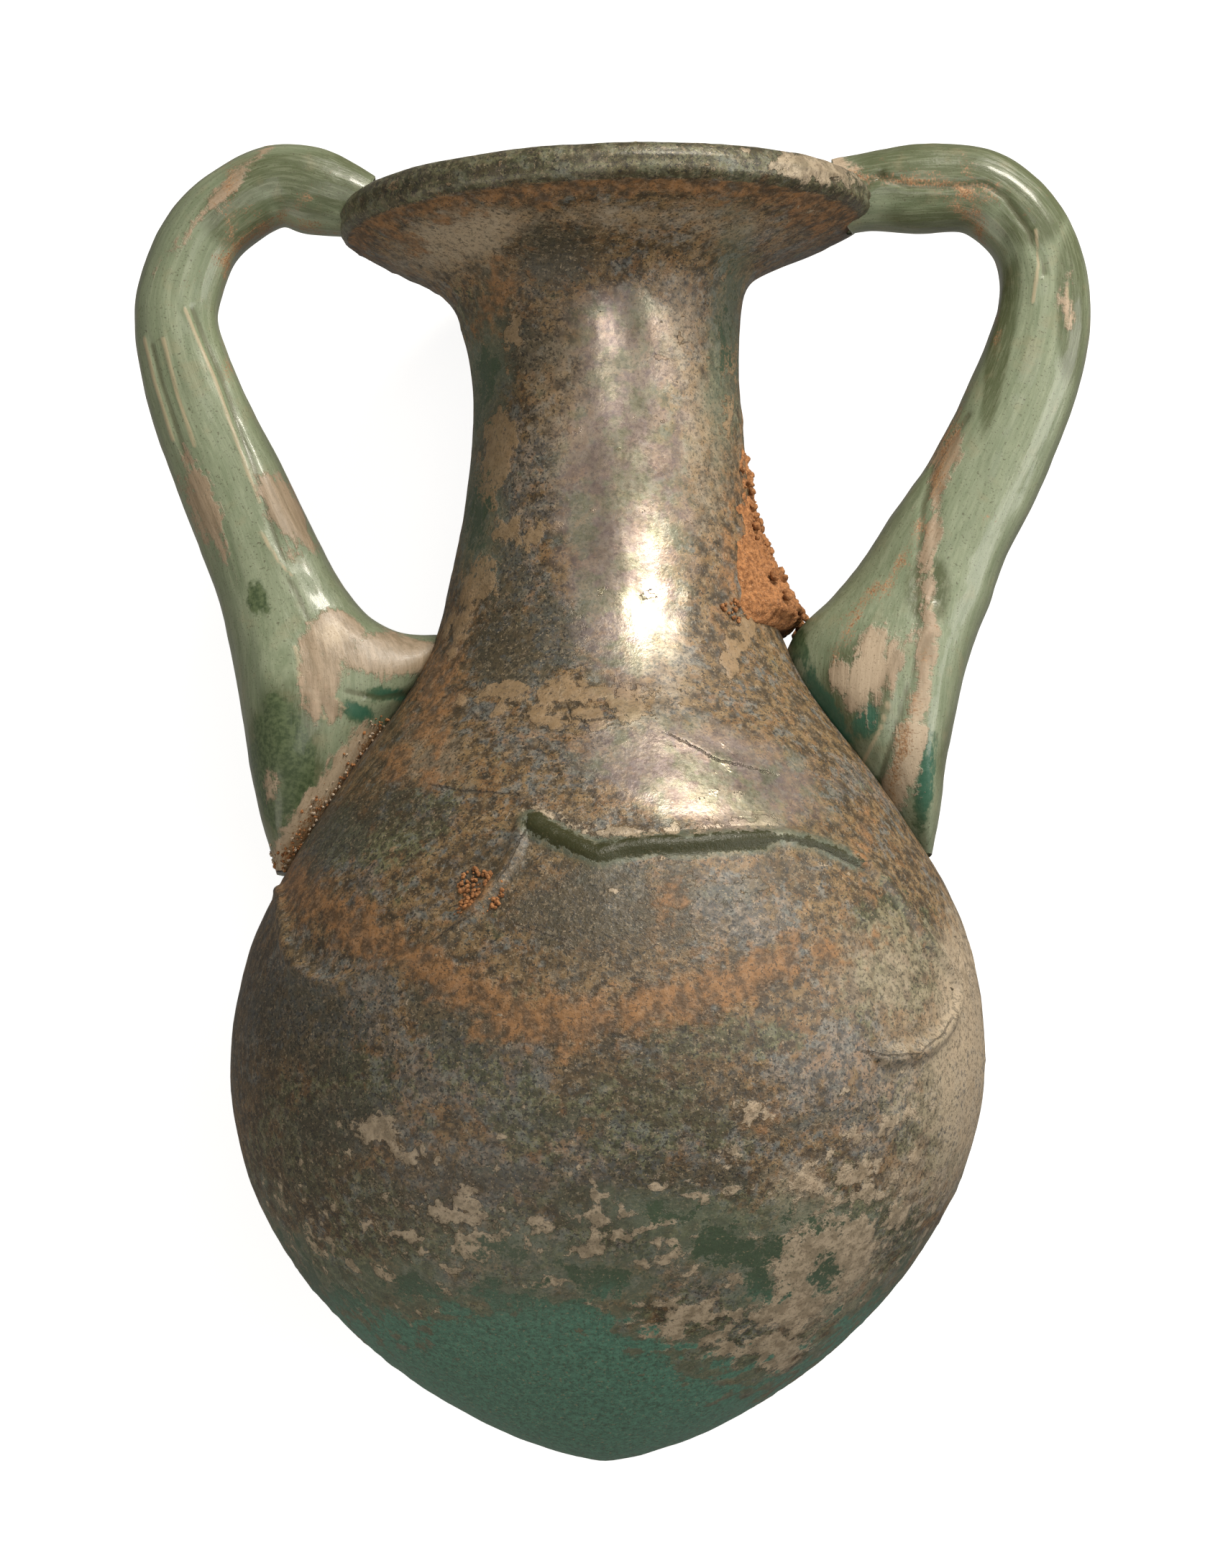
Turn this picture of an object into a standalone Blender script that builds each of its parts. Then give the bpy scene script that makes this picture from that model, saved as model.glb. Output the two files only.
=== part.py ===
"""Old blown glass flask with two handles and a rounded point for a foot, lying on its back.

The pieces are modelled in the flask's own frame: X across the handles, Y along the axis
with 0 at the tip, Z out of the front.  An empty then lays the flask down, so that its
belly and its rim touch the ground, with the mouth towards +Y and the front facing up.
"""
import bisect
import math

import bmesh
import bpy
from mathutils import Vector

# Driving dimensions of the blown vessel, in metres: its radii, and the lengths that stack up
# from the tip to the top of the rim.
BELLY_RADIUS = 0.0353
SHOULDER_RADIUS = 0.0299
NECK_FOOT_RADIUS = 0.0165
NECK_RADIUS = 0.01265
RIM_RADIUS = 0.0254
RIM_WIDTH = 0.0044
POINT_LENGTH = 0.0374
BELLY_TO_SHOULDER = 0.0186
SHOULDER_TO_NECK = 0.0210
NECK_FOOT_TO_WAIST = 0.0225
WAIST_TO_FUNNEL = 0.0085
FUNNEL_LENGTH = 0.0081
RIM_HEIGHT = 0.0038
WALL = 0.0018
NECK_WALL = 0.0020
TIP_WALL = 0.0040
FLAT_DEPTH = 0.0003

# The heights above the tip that those lengths give.
BELLY_HEIGHT = POINT_LENGTH
SHOULDER_HEIGHT = BELLY_HEIGHT + BELLY_TO_SHOULDER
NECK_FOOT_HEIGHT = SHOULDER_HEIGHT + SHOULDER_TO_NECK
NECK_WAIST_HEIGHT = NECK_FOOT_HEIGHT + NECK_FOOT_TO_WAIST
FUNNEL_START_HEIGHT = NECK_WAIST_HEIGHT + WAIST_TO_FUNNEL
FOLD_HEIGHT = FUNNEL_START_HEIGHT + FUNNEL_LENGTH
HEIGHT = FOLD_HEIGHT + RIM_HEIGHT

# The point of the lower body: 2/3 keeps it rounded but pointed.
POINT_POWER = 0.665

# How the outline bends between two of those heights.  A pair holds the share of the way up
# and the share of the change in radius.
BELLY_BEND = ((-0.22, 0.05), (0.0, 0.0), (0.30, 0.09), (0.64, 0.38))
SHOULDER_BEND = ((0.0, 0.0), (0.38, 0.38), (0.74, 0.79))
NECK_BEND = ((0.0, 0.0), (0.25, 0.40), (0.55, 0.74))
WAIST_BEND = ((0.0, 0.0),)
FUNNEL_BEND = ((0.0, 0.06), (0.42, 0.21), (0.75, 0.60), (1.0, 1.0))

# The folded rim: how far the fold tucks in under it, as a share of its width, how round its
# inner edge is, how thick the funnel's wall gets below it, and how far the inside climbs.
FOLD_TUCK = 0.2
INNER_ROUNDNESS = 0.6
FUNNEL_THICKENING = 1.6
INSIDE_CLIMB = 0.8

# How far the hand-blown centre line strays sideways, as (share of the height, metres).
CENTRE_LINE = (
    (0.0, -0.0002), (0.108, -0.0005), (0.242, -0.0002), (0.375, 0.0002), (0.467, 0.0004),
    (0.651, 0.0001), (0.834, -0.0001), (0.905, -0.0008), (0.938, -0.0014), (0.972, -0.0003),
    (1.0, -0.0002),
)
RIM_SLOPE = 0.036

# Driving dimensions of the two handles.  A foot's drop is how far the tail of its pad lies
# below the shoulder.
HANDLE_RIBS = 6
RIB_DEPTH = 0.00035
HANDLE_HALF_WIDTH = 0.0040
LEFT_REACH = 0.0411
RIGHT_REACH = 0.0417
LEFT_FOOT_DROP = 0.0010
RIGHT_FOOT_DROP = -0.0002
# The share of the way down at which a handle stands out furthest.
FULLEST_DOWN = 0.12

# Each handle from the rim down to the tail of its pad.  A row holds the share of the way
# down from the rim to the tail, the share of the reach that the spine stands out from the
# line between them, then its outer half, its inner half and half its depth, each as a share
# of HANDLE_HALF_WIDTH.
LEFT_STATIONS = (
    (-0.010, -0.18, 0.750, 0.750, 0.850),
    (-0.026, 0.02, 0.950, 0.950, 0.925),
    (-0.037, 0.19, 1.050, 1.050, 0.975),
    (-0.050, 0.38, 1.000, 1.000, 0.975),
    (-0.033, 0.57, 1.000, 1.000, 0.975),
    (0.006, 0.78, 1.000, 1.000, 1.000),
    (0.052, 0.91, 1.000, 1.025, 1.025),
    (0.127, 0.99, 1.025, 1.050, 1.050),
    (0.183, 0.98, 1.050, 1.050, 1.075),
    (0.292, 0.80, 1.200, 1.175, 1.125),
    (0.400, 0.56, 1.300, 1.275, 1.225),
    (0.511, 0.31, 1.375, 1.350, 1.375),
    (0.587, 0.20, 1.325, 1.650, 1.500),
    (0.646, 0.13, 1.300, 2.200, 1.650),
    (0.683, 0.09, 1.275, 3.125, 1.800),
    (0.730, 0.06, 1.225, 3.500, 1.950),
    (0.786, 0.02, 1.150, 2.500, 2.000),
    (0.841, 0.00, 1.025, 1.750, 1.925),
    (0.905, 0.00, 0.750, 1.150, 1.650),
    (0.964, 0.01, 0.400, 0.600, 1.150),
    (1.005, 0.00, 0.150, 0.150, 0.500),
)
RIGHT_STATIONS = (
    (-0.026, -0.24, 0.925, 0.925, 0.850),
    (-0.040, 0.00, 0.950, 0.950, 0.925),
    (-0.040, 0.24, 1.075, 1.075, 0.975),
    (-0.045, 0.50, 1.050, 1.050, 0.975),
    (-0.036, 0.68, 1.050, 1.050, 1.000),
    (0.004, 0.86, 1.050, 1.050, 1.025),
    (0.049, 0.97, 1.050, 1.050, 1.050),
    (0.129, 1.00, 1.125, 1.125, 1.075),
    (0.214, 0.91, 1.225, 1.225, 1.125),
    (0.298, 0.77, 1.300, 1.300, 1.175),
    (0.409, 0.53, 1.375, 1.350, 1.250),
    (0.521, 0.31, 1.250, 1.700, 1.400),
    (0.586, 0.21, 1.250, 2.050, 1.525),
    (0.638, 0.14, 1.150, 2.500, 1.675),
    (0.683, 0.09, 1.075, 3.125, 1.825),
    (0.740, 0.04, 1.000, 3.250, 1.950),
    (0.801, 0.00, 0.900, 2.450, 2.000),
    (0.858, -0.02, 0.750, 1.650, 1.900),
    (0.914, -0.01, 0.575, 1.100, 1.600),
    (0.961, 0.00, 0.350, 0.600, 1.150),
    (0.998, 0.01, 0.150, 0.150, 0.500),
)
HANDLE_STEPS = 2
# Below 1 the section of a handle is boxier than an ellipse.
SECTION_POWER = 0.8

# Driving dimensions of the trailed thread and its route, from the hook that ends it low on
# the right, over the front and round the back.  A row holds the degrees round from the
# front, the share of the way up from the belly to the foot of the neck, and the share of
# the full width.
TRAIL_WIDTH = 0.0019
TRAIL_PROUD = 0.0009
TRAIL_ROUTE = (
    (41.7, -0.036, 0.20), (43.5, -0.041, 0.70), (46.2, -0.045, 0.95), (51.3, -0.033, 0.95),
    (57.8, 0.004, 0.90), (61.9, 0.047, 0.85), (65.2, 0.093, 0.85), (66.6, 0.137, 0.80),
    (64.5, 0.175, 0.80), (61.5, 0.205, 0.80), (58.0, 0.242, 0.85), (54.4, 0.298, 0.85),
    (52.1, 0.347, 0.90), (49.1, 0.389, 0.95), (45.6, 0.416, 1.00), (38.3, 0.443, 1.00),
    (32.5, 0.455, 1.00), (23.8, 0.446, 0.95), (12.0, 0.429, 0.95), (5.9, 0.424, 1.00),
    (1.0, 0.413, 1.05), (-2.7, 0.398, 1.30), (-7.4, 0.428, 1.10), (-11.3, 0.454, 1.15),
    (-14.6, 0.480, 1.10), (-15.8, 0.450, 0.85), (-16.5, 0.395, 0.75), (-19.8, 0.298, 0.75),
    (-22.6, 0.247, 0.80), (-27.0, 0.194, 0.85), (-31.0, 0.163, 0.90), (-36.0, 0.138, 0.95),
    (-41.6, 0.116, 1.00), (-48.0, 0.122, 1.05), (-53.8, 0.162, 1.05), (-58.5, 0.211, 1.05),
    (-62.0, 0.262, 1.00), (-67.0, 0.318, 0.90), (-74.0, 0.370, 0.70), (-83.0, 0.394, 0.50),
    (-92.0, 0.390, 0.50), (-104.0, 0.330, 0.90), (-116.0, 0.230, 1.00), (-128.0, 0.155, 1.00),
    (-140.0, 0.145, 1.00), (-151.0, 0.220, 1.00), (-160.0, 0.330, 1.00), (-170.0, 0.420, 1.00),
    (-182.0, 0.450, 1.00), (-195.0, 0.420, 1.00), (-206.0, 0.330, 1.00), (-217.0, 0.210, 1.00),
    (-229.0, 0.145, 1.00), (-241.0, 0.155, 1.00), (-252.0, 0.240, 0.90), (-260.0, 0.330, 0.70),
    (-264.0, 0.370, 0.30),
)
TRAIL_STEPS = 2
# The corners of its rounded back, as a share of its half width and of its height.
TRAIL_SHOULDER = 0.72
# Where the thread swells wider than this share, it gets no higher.
TRAIL_FULL_SHARE = 1.2

# Driving dimensions of the earth left in the corner of the neck and the right handle.
SOIL_START = 0.0006
SOIL_LENGTH = 0.0182
SOIL_EDGE = 0.0004
SOIL_THICKEST = 0.0033
SOIL_FRONT_ANGLE = 50
SOIL_BACK_ANGLE = 128
SOIL_LUMPS = 0.0003
SOIL_NARROWING = 0.62
SOIL_THINNING = 1.35
SOIL_RIM_SHARE = 0.04

# Clear distance between pieces that touch.
GAP = 0.0003

# Fineness of the facets, and how far, as a share of its radius, a turned surface's corners
# stand out from its flats.
FACET_ALLOWANCE = 0.0042
POINT_RINGS = 11
HOLLOW_RINGS = 6
TURNS = 36
HANDLE_SIDES = 24
SOIL_COLUMNS = 9
SOIL_ROWS = 9


def blend(low, high, share):
    return low + (high - low) * share


def smooth_step(value):
    clipped = min(max(value, 0.0), 1.0)
    return clipped * clipped * (3 - 2 * clipped)


def curve_value(stations, place):
    """A smooth curve through (place, value, ...) rows; the rest of a row comes too."""
    places = [row[0] for row in stations]
    place = min(max(place, places[0]), places[-1])
    index = min(max(bisect.bisect_right(places, place) - 1, 0), len(places) - 2)
    here, there = stations[index], stations[index + 1]
    before = stations[max(index - 1, 0)]
    after = stations[min(index + 2, len(stations) - 1)]
    length = there[0] - here[0]
    share = (place - here[0]) / length
    values = []
    for column in range(1, len(here)):
        slope_here = (there[column] - before[column]) / (there[0] - before[0]) * length
        slope_there = (after[column] - here[column]) / (after[0] - here[0]) * length
        values.append(
            (2 * share**3 - 3 * share**2 + 1) * here[column]
            + (share**3 - 2 * share**2 + share) * slope_here
            + (3 * share**2 - 2 * share**3) * there[column]
            + (share**3 - share**2) * slope_there
        )
    return values


def upper_outline():
    """(height, radius) stations from the belly to the fold under the rim."""
    fold_radius = RIM_RADIUS - RIM_WIDTH * FOLD_TUCK
    corners = (
        (BELLY_HEIGHT, BELLY_RADIUS), (SHOULDER_HEIGHT, SHOULDER_RADIUS),
        (NECK_FOOT_HEIGHT, NECK_FOOT_RADIUS), (NECK_WAIST_HEIGHT, NECK_RADIUS),
        (FUNNEL_START_HEIGHT, NECK_RADIUS), (FOLD_HEIGHT, fold_radius),
    )
    bends = (BELLY_BEND, SHOULDER_BEND, NECK_BEND, WAIST_BEND, FUNNEL_BEND)
    stations = []
    for low, high, bend in zip(corners, corners[1:], bends):
        for up, change in bend:
            stations.append((blend(low[0], high[0], up), blend(low[1], high[1], change)))
    return stations


def outer_radius(height):
    """The vessel's outside radius at a height above the tip."""
    if height < BELLY_HEIGHT:
        share = (BELLY_HEIGHT - max(height, 0.0)) / BELLY_HEIGHT
        return BELLY_RADIUS * (1 - share * share) ** POINT_POWER
    return curve_value(upper_outline(), height)[0]


def outside_points():
    """The outside from the tip up to the fold under the rim, as (radius, height)."""
    lower = [math.sin(math.radians(step * 90 / POINT_RINGS)) for step in range(POINT_RINGS + 1)]
    points = [(outer_radius(BELLY_HEIGHT * (1 - share)), BELLY_HEIGHT * (1 - share))
              for share in reversed(lower)]
    stations = upper_outline()[1:]
    for low, high in zip(stations, stations[1:]):
        steps = (0.5, 1.0) if high[0] - low[0] > HEIGHT / 30 else (1.0,)
        for step in steps:
            height = blend(low[0], high[0], step)
            points.append((outer_radius(height), height))
    return [(0.0, 0.0)] + points[1:]


def rim_points():
    """The folded collar's round section, from its outer foot over its top to the mouth."""
    half = RIM_HEIGHT / 2
    middle = HEIGHT - half
    outer = RIM_RADIUS - half
    inner_half = half * INNER_ROUNDNESS
    inner = RIM_RADIUS - RIM_WIDTH + inner_half
    points = []
    for degrees in (-40, -10, 20, 55, 90):
        angle = math.radians(degrees)
        points.append((outer + half * math.cos(angle), middle + half * math.sin(angle)))
    for degrees in (120, 160):
        angle = math.radians(degrees)
        points.append((inner + inner_half * math.cos(angle), middle + half * math.sin(angle)))
    return points


def wall_at(height):
    """Wall thickness, measured square to the axis above the belly."""
    share = (height - BELLY_HEIGHT) / (NECK_FOOT_HEIGHT - BELLY_HEIGHT)
    return blend(WALL, NECK_WALL, smooth_step(share))


def inside_points():
    """The inside from the mouth down to the bottom of the hollow, as (radius, height)."""
    points = []
    for share in (0.0, 0.30, 0.65, 1.0):
        height = blend(FOLD_HEIGHT, FUNNEL_START_HEIGHT, share)
        lift = NECK_WALL * (1 - share) * INSIDE_CLIMB
        wall = NECK_WALL * blend(FUNNEL_THICKENING, 1.0, share)
        points.append((outer_radius(height) - wall, height + lift))
    stations = [row[0] for row in upper_outline()[1:12]]
    for height in reversed(stations[:-1]):
        slope = (outer_radius(height + GAP) - outer_radius(height - GAP)) / (2 * GAP)
        points.append((outer_radius(height) - wall_at(height) * math.hypot(1.0, slope), height))
    hollow_depth = BELLY_HEIGHT - TIP_WALL
    for step in range(1, HOLLOW_RINGS):
        share = math.sin(math.radians(step * 90 / HOLLOW_RINGS))
        radius = (BELLY_RADIUS - WALL) * (1 - share * share) ** POINT_POWER
        points.append((radius, BELLY_HEIGHT - hollow_depth * share))
    return points + [(0.0, TIP_WALL)]


def hand_blown(place):
    """Moves a point of the true turned form to where the hand-blown one has it."""
    shift = curve_value(CENTRE_LINE, place.y / HEIGHT)[0]
    top_share = smooth_step((place.y - NECK_WAIST_HEIGHT) / (FOLD_HEIGHT - NECK_WAIST_HEIGHT))
    return Vector((place.x + shift, place.y + place.x * RIM_SLOPE * top_share, place.z))


def turned_mesh(name, outline):
    """Spins an outline of (radius, height) round the axis and closes it at its ends."""
    shape = bmesh.new()
    verts = [shape.verts.new((radius, height, 0.0)) for radius, height in outline]
    edges = [shape.edges.new(pair) for pair in zip(verts, verts[1:])]
    bmesh.ops.spin(
        shape, geom=verts + edges, cent=(0, 0, 0), axis=(0, 1, 0), dvec=(0, 0, 0),
        angle=math.tau, steps=TURNS, use_merge=True, use_duplicate=False,
    )
    bmesh.ops.remove_doubles(shape, verts=shape.verts, dist=1e-7)
    for vert in shape.verts:
        vert.co = hand_blown(vert.co)
    bmesh.ops.recalc_face_normals(shape, faces=shape.faces)
    return finished_mesh(name, shape)


def finished_mesh(name, shape):
    mesh = bpy.data.meshes.new(name)
    shape.to_mesh(mesh)
    shape.free()
    mesh.shade_smooth()
    mesh.set_sharp_from_angle(angle=math.radians(40))
    return mesh


def lying_tilt():
    """The slope of the axis when both the belly and the rim touch the ground."""
    belly = [point for point in outside_points() if point[1] < NECK_FOOT_HEIGHT]

    def reach(points, tilt):
        return max(radius * math.cos(tilt) + height * math.sin(tilt) for radius, height in points)

    low, high = 0.0, math.radians(30)
    for _ in range(40):
        tilt = (low + high) / 2
        if reach(belly, tilt) > reach(rim_points(), tilt):
            low = tilt
        else:
            high = tilt
    return tilt, reach(belly, tilt)


def glass(name, colour, roughness):
    material = bpy.data.materials.new(name)
    material.use_nodes = True
    shader = material.node_tree.nodes["Principled BSDF"]
    shader.inputs["Base Color"].default_value = (*colour, 1.0)
    shader.inputs["Roughness"].default_value = roughness
    shader.inputs["Metallic"].default_value = 0.0
    material.diffuse_color = (*colour, 1.0)
    return material


def add_piece(name, mesh, parent, material):
    piece = bpy.data.objects.new(name, mesh)
    bpy.context.scene.collection.objects.link(piece)
    piece.parent = parent
    mesh.materials.append(material)
    return piece


def add_cutter(name, mesh, parent):
    cutter = bpy.data.objects.new(name, mesh)
    bpy.context.scene.collection.objects.link(cutter)
    cutter.parent = parent
    cutter.hide_render = True
    cutter.display_type = "WIRE"
    return cutter


def cut(piece, cutter):
    modifier = piece.modifiers.new(cutter.name, "BOOLEAN")
    modifier.operation = "DIFFERENCE"
    modifier.solver = "EXACT"
    modifier.object = cutter


def vessel_outline():
    return outside_points() + rim_points() + inside_points()


def clearance_outline():
    """The outside of the vessel grown by the gap, with its mouth filled in."""
    outside = outside_points() + rim_points()[:5]
    grown = []
    for index, (radius, height) in enumerate(outside):
        before = outside[max(index - 1, 0)]
        after = outside[min(index + 1, len(outside) - 1)]
        along = Vector((after[0] - before[0], after[1] - before[1])).normalized()
        grown.append((radius + along.y * GAP, height - along.x * GAP))
    grown[0] = (0.0, -GAP)
    grown[-1] = (outside[-1][0], HEIGHT + GAP)
    return grown + [(0.0, HEIGHT + GAP)]


def swept_mesh(name, rings, deform=None):
    """Joins rings of points, each with as many points, into one closed body."""
    shape = bmesh.new()
    ring = [shape.verts.new(point) for point in rings[0]]
    first_cap = cap = shape.faces.new(ring)
    for points in rings[1:]:
        made = bmesh.ops.extrude_face_region(shape, geom=[cap])["geom"]
        if cap is not first_cap and cap.is_valid:
            shape.faces.remove(cap)
        cap = next(item for item in made if isinstance(item, bmesh.types.BMFace))
        fresh = {item for item in made if isinstance(item, bmesh.types.BMVert)}
        ring = [next(edge.other_vert(vert) for edge in vert.link_edges
                     if edge.other_vert(vert) in fresh) for vert in ring]
        for vert, point in zip(ring, points):
            vert.co = point
    if deform:
        for vert in shape.verts:
            vert.co = deform(vert.co)
    bmesh.ops.recalc_face_normals(shape, faces=shape.faces)
    return finished_mesh(name, shape)


def boxy(value):
    return math.copysign(abs(value) ** SECTION_POWER, value)


def handle_rings(side, stations, reach, foot_drop, grow):
    """Rings round a handle; side is -1 for the left one and 1 for the right one."""
    top = Vector((RIM_RADIUS, HEIGHT - RIM_HEIGHT / 2))
    foot_height = SHOULDER_HEIGHT - foot_drop
    tail = Vector((outer_radius(foot_height), foot_height))
    full_stand = reach - blend(top.x, tail.x, FULLEST_DOWN)
    rows = [(number, *row) for number, row in enumerate(stations)]
    count = (len(rows) - 1) * HANDLE_STEPS
    path = []
    for step in range(count + 1):
        down, out, *sizes = curve_value(rows, step / HANDLE_STEPS)
        base = top.lerp(tail, down)
        spine = Vector((base.x + out * full_stand, base.y))
        path.append((spine, [size * HANDLE_HALF_WIDTH + grow for size in sizes]))
    rings = []
    for index, (spine, (outer_half, inner_half, half_depth)) in enumerate(path):
        before = path[max(index - 1, 0)][0]
        after = path[min(index + 1, count)][0]
        along = (after - before).normalized()
        outward = Vector((-along.y, along.x))
        ring = []
        for number in range(HANDLE_SIDES):
            angle = math.tau * number / HANDLE_SIDES
            groove = RIB_DEPTH * (1 - math.cos(HANDLE_RIBS * angle)) / 2
            groove *= min(1.0, outer_half / HANDLE_HALF_WIDTH)
            half = outer_half if math.cos(angle) > 0 else inner_half
            across = outward * boxy(math.cos(angle)) * (half - groove)
            depth = boxy(math.sin(angle)) * (half_depth - groove)
            ring.append(Vector((side * (spine.x + across.x), spine.y + across.y, depth)))
        rings.append(ring)
    return rings


def surface_frame(degrees, height):
    """A point of the body's outside and the direction straight out of it."""
    step = BELLY_HEIGHT / 100
    slope = (outer_radius(height + step) - outer_radius(height - step)) / (2 * step)
    out = Vector((1.0, -slope)).normalized()
    angle = math.radians(degrees)
    radius = outer_radius(height)
    place = Vector((radius * math.sin(angle), height, radius * math.cos(angle)))
    normal = Vector((out.x * math.sin(angle), out.y, out.x * math.cos(angle)))
    return place, normal


def trail_rings():
    """Rings of a thread with a rounded back that lies on the body."""
    span = NECK_FOOT_HEIGHT - BELLY_HEIGHT
    rows = [(number, *row) for number, row in enumerate(TRAIL_ROUTE)]
    count = (len(rows) - 1) * TRAIL_STEPS
    path = []
    for step in range(count + 1):
        degrees, share, width = curve_value(rows, step / TRAIL_STEPS)
        place, normal = surface_frame(degrees, BELLY_HEIGHT + share * span)
        path.append((place, normal, width))
    rings = []
    for index, (place, normal, width) in enumerate(path):
        along = (path[min(index + 1, count)][0] - path[max(index - 1, 0)][0]).normalized()
        side = along.cross(normal).normalized()
        half = TRAIL_WIDTH / 2 * width
        rise = (TRAIL_PROUD - GAP) * min(width, TRAIL_FULL_SHARE)
        foot = place + normal * (GAP + BELLY_RADIUS * FACET_ALLOWANCE)
        rings.append([
            foot - side * half,
            foot - (side * half - normal * rise) * TRAIL_SHOULDER,
            foot + normal * rise,
            foot + (side * half + normal * rise) * TRAIL_SHOULDER,
            foot + side * half,
        ])
    return rings


def soil_mesh(name):
    """A wedge of earth round one side of the neck, thick at the bottom and thin on top."""
    shape = bmesh.new()
    bmesh.ops.create_grid(shape, x_segments=SOIL_COLUMNS, y_segments=SOIL_ROWS, size=0.5)
    base = list(shape.verts)
    made = bmesh.ops.extrude_face_region(shape, geom=list(shape.faces))["geom"]
    crust = [item for item in made if isinstance(item, bmesh.types.BMVert)]
    for verts, is_crust in ((base, False), (crust, True)):
        for vert in verts:
            across, up = vert.co.x + 0.5, vert.co.y + 0.5
            middle = blend(SOIL_FRONT_ANGLE, SOIL_BACK_ANGLE, 0.5)
            spread = (SOIL_BACK_ANGLE - SOIL_FRONT_ANGLE) * (1 - SOIL_NARROWING * up ** 2)
            angle = middle + (across - 0.5) * spread
            height = NECK_FOOT_HEIGHT + SOIL_START + SOIL_LENGTH * up
            place, normal = surface_frame(angle, height)
            proud = GAP + NECK_RADIUS * FACET_ALLOWANCE
            if is_crust:
                inset = min(max(across, SOIL_RIM_SHARE), 1 - SOIL_RIM_SHARE)
                middle_share = math.sin(math.pi * inset)
                wedge = blend(SOIL_THICKEST, SOIL_EDGE, smooth_step(up * SOIL_THINNING) ** 0.6)
                lumps = SOIL_LUMPS * math.sin(11 * across + 3 * up) * math.sin(13 * up + 2)
                proud += SOIL_EDGE + (wedge - SOIL_EDGE) * middle_share + lumps * middle_share
            vert.co = hand_blown(place + normal * proud)
    bmesh.ops.recalc_face_normals(shape, faces=shape.faces)
    return finished_mesh(name, shape)


def ground_mesh(name):
    shape = bmesh.new()
    bmesh.ops.create_cube(shape, size=HEIGHT * 4)
    bmesh.ops.translate(shape, verts=shape.verts, vec=(0, 0, -HEIGHT * 2))
    return finished_mesh(name, shape)


def centre_on_ground(pieces, parent):
    """Slides the flask so that the middle of its box is over the origin."""
    bpy.context.view_layer.update()
    scene_now = bpy.context.evaluated_depsgraph_get()
    corners = []
    for piece in pieces:
        settled = piece.evaluated_get(scene_now)
        corners += [settled.matrix_world @ vert.co for vert in settled.to_mesh().vertices]
        settled.to_mesh_clear()
    for axis in (0, 1):
        values = [corner[axis] for corner in corners]
        parent.location[axis] -= (min(values) + max(values)) / 2
    bpy.context.view_layer.update()


def build():
    for old in list(bpy.data.objects):
        bpy.data.objects.remove(old, do_unlink=True)

    tilt, depth = lying_tilt()
    flask = bpy.data.objects.new("flask", None)
    bpy.context.scene.collection.objects.link(flask)
    flask.rotation_euler = (-tilt, 0.0, 0.0)
    flask.location = (0.0, 0.0, depth - FLAT_DEPTH)

    weathered = glass("weathered_glass", (0.35, 0.33, 0.31), 0.45)
    vessel = add_piece("vessel", turned_mesh("vessel", vessel_outline()), flask, weathered)
    ground = add_cutter("ground_cut", ground_mesh("ground_cut"), None)
    cut(vessel, ground)
    clearance = add_cutter("vessel_room", turned_mesh("vessel_room", clearance_outline()), flask)

    handles = {}
    forms = (
        ("handle_left", -1, LEFT_STATIONS, LEFT_REACH, LEFT_FOOT_DROP),
        ("handle_right", 1, RIGHT_STATIONS, RIGHT_REACH, RIGHT_FOOT_DROP),
    )
    for name, side, stations, reach, foot_drop in forms:
        pale = glass(name + "_glass", (0.46, 0.56, 0.47), 0.25)
        rings = handle_rings(side, stations, reach, foot_drop, 0.0)
        handles[name] = add_piece(name, swept_mesh(name, rings), flask, pale)
        cut(handles[name], clearance)

    dark = glass("trail_glass", (0.06, 0.09, 0.05), 0.3)
    trail = add_piece("trail", swept_mesh("trail", trail_rings(), hand_blown), flask, dark)

    earth = glass("earth", (0.42, 0.24, 0.10), 0.95)
    soil = add_piece("soil_crust", soil_mesh("soil_crust"), flask, earth)
    room_rings = handle_rings(1, RIGHT_STATIONS, RIGHT_REACH, RIGHT_FOOT_DROP, GAP)
    cut(soil, add_cutter("handle_room", swept_mesh("handle_room", room_rings), flask))

    centre_on_ground([vessel, *handles.values(), trail, soil], flask)


build()
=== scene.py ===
"""Looks of an old two-handled glass flask that lies on its back, seen from straight above."""

import bisect
import math
import random

import bmesh
import bpy
import numpy as np
from mathutils import Matrix, Vector, noise


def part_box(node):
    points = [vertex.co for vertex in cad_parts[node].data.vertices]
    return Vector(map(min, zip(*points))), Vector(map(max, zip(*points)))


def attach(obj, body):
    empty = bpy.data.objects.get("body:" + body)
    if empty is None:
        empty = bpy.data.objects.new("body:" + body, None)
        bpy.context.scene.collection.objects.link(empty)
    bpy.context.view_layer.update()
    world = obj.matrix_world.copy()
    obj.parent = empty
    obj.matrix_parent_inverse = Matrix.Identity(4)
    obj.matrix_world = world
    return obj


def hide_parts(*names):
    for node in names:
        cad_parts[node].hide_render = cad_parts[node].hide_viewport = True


MM = 0.001

# The photographed view: a camera over the flask that looks straight down.  Pixels are those
# of the 1708 x 2181 picture.
PICTURE_WIDTH = 1708
PICTURE_HEIGHT = 2181
CAMERA_HEIGHT = 0.700
PIXELS_PER_SLOPE = 9873.6
AXIS_PIXEL = 845.0
MIDDLE_PIXEL = 1090.5
LOOKED_AT_HEIGHT = 0.0635

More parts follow.
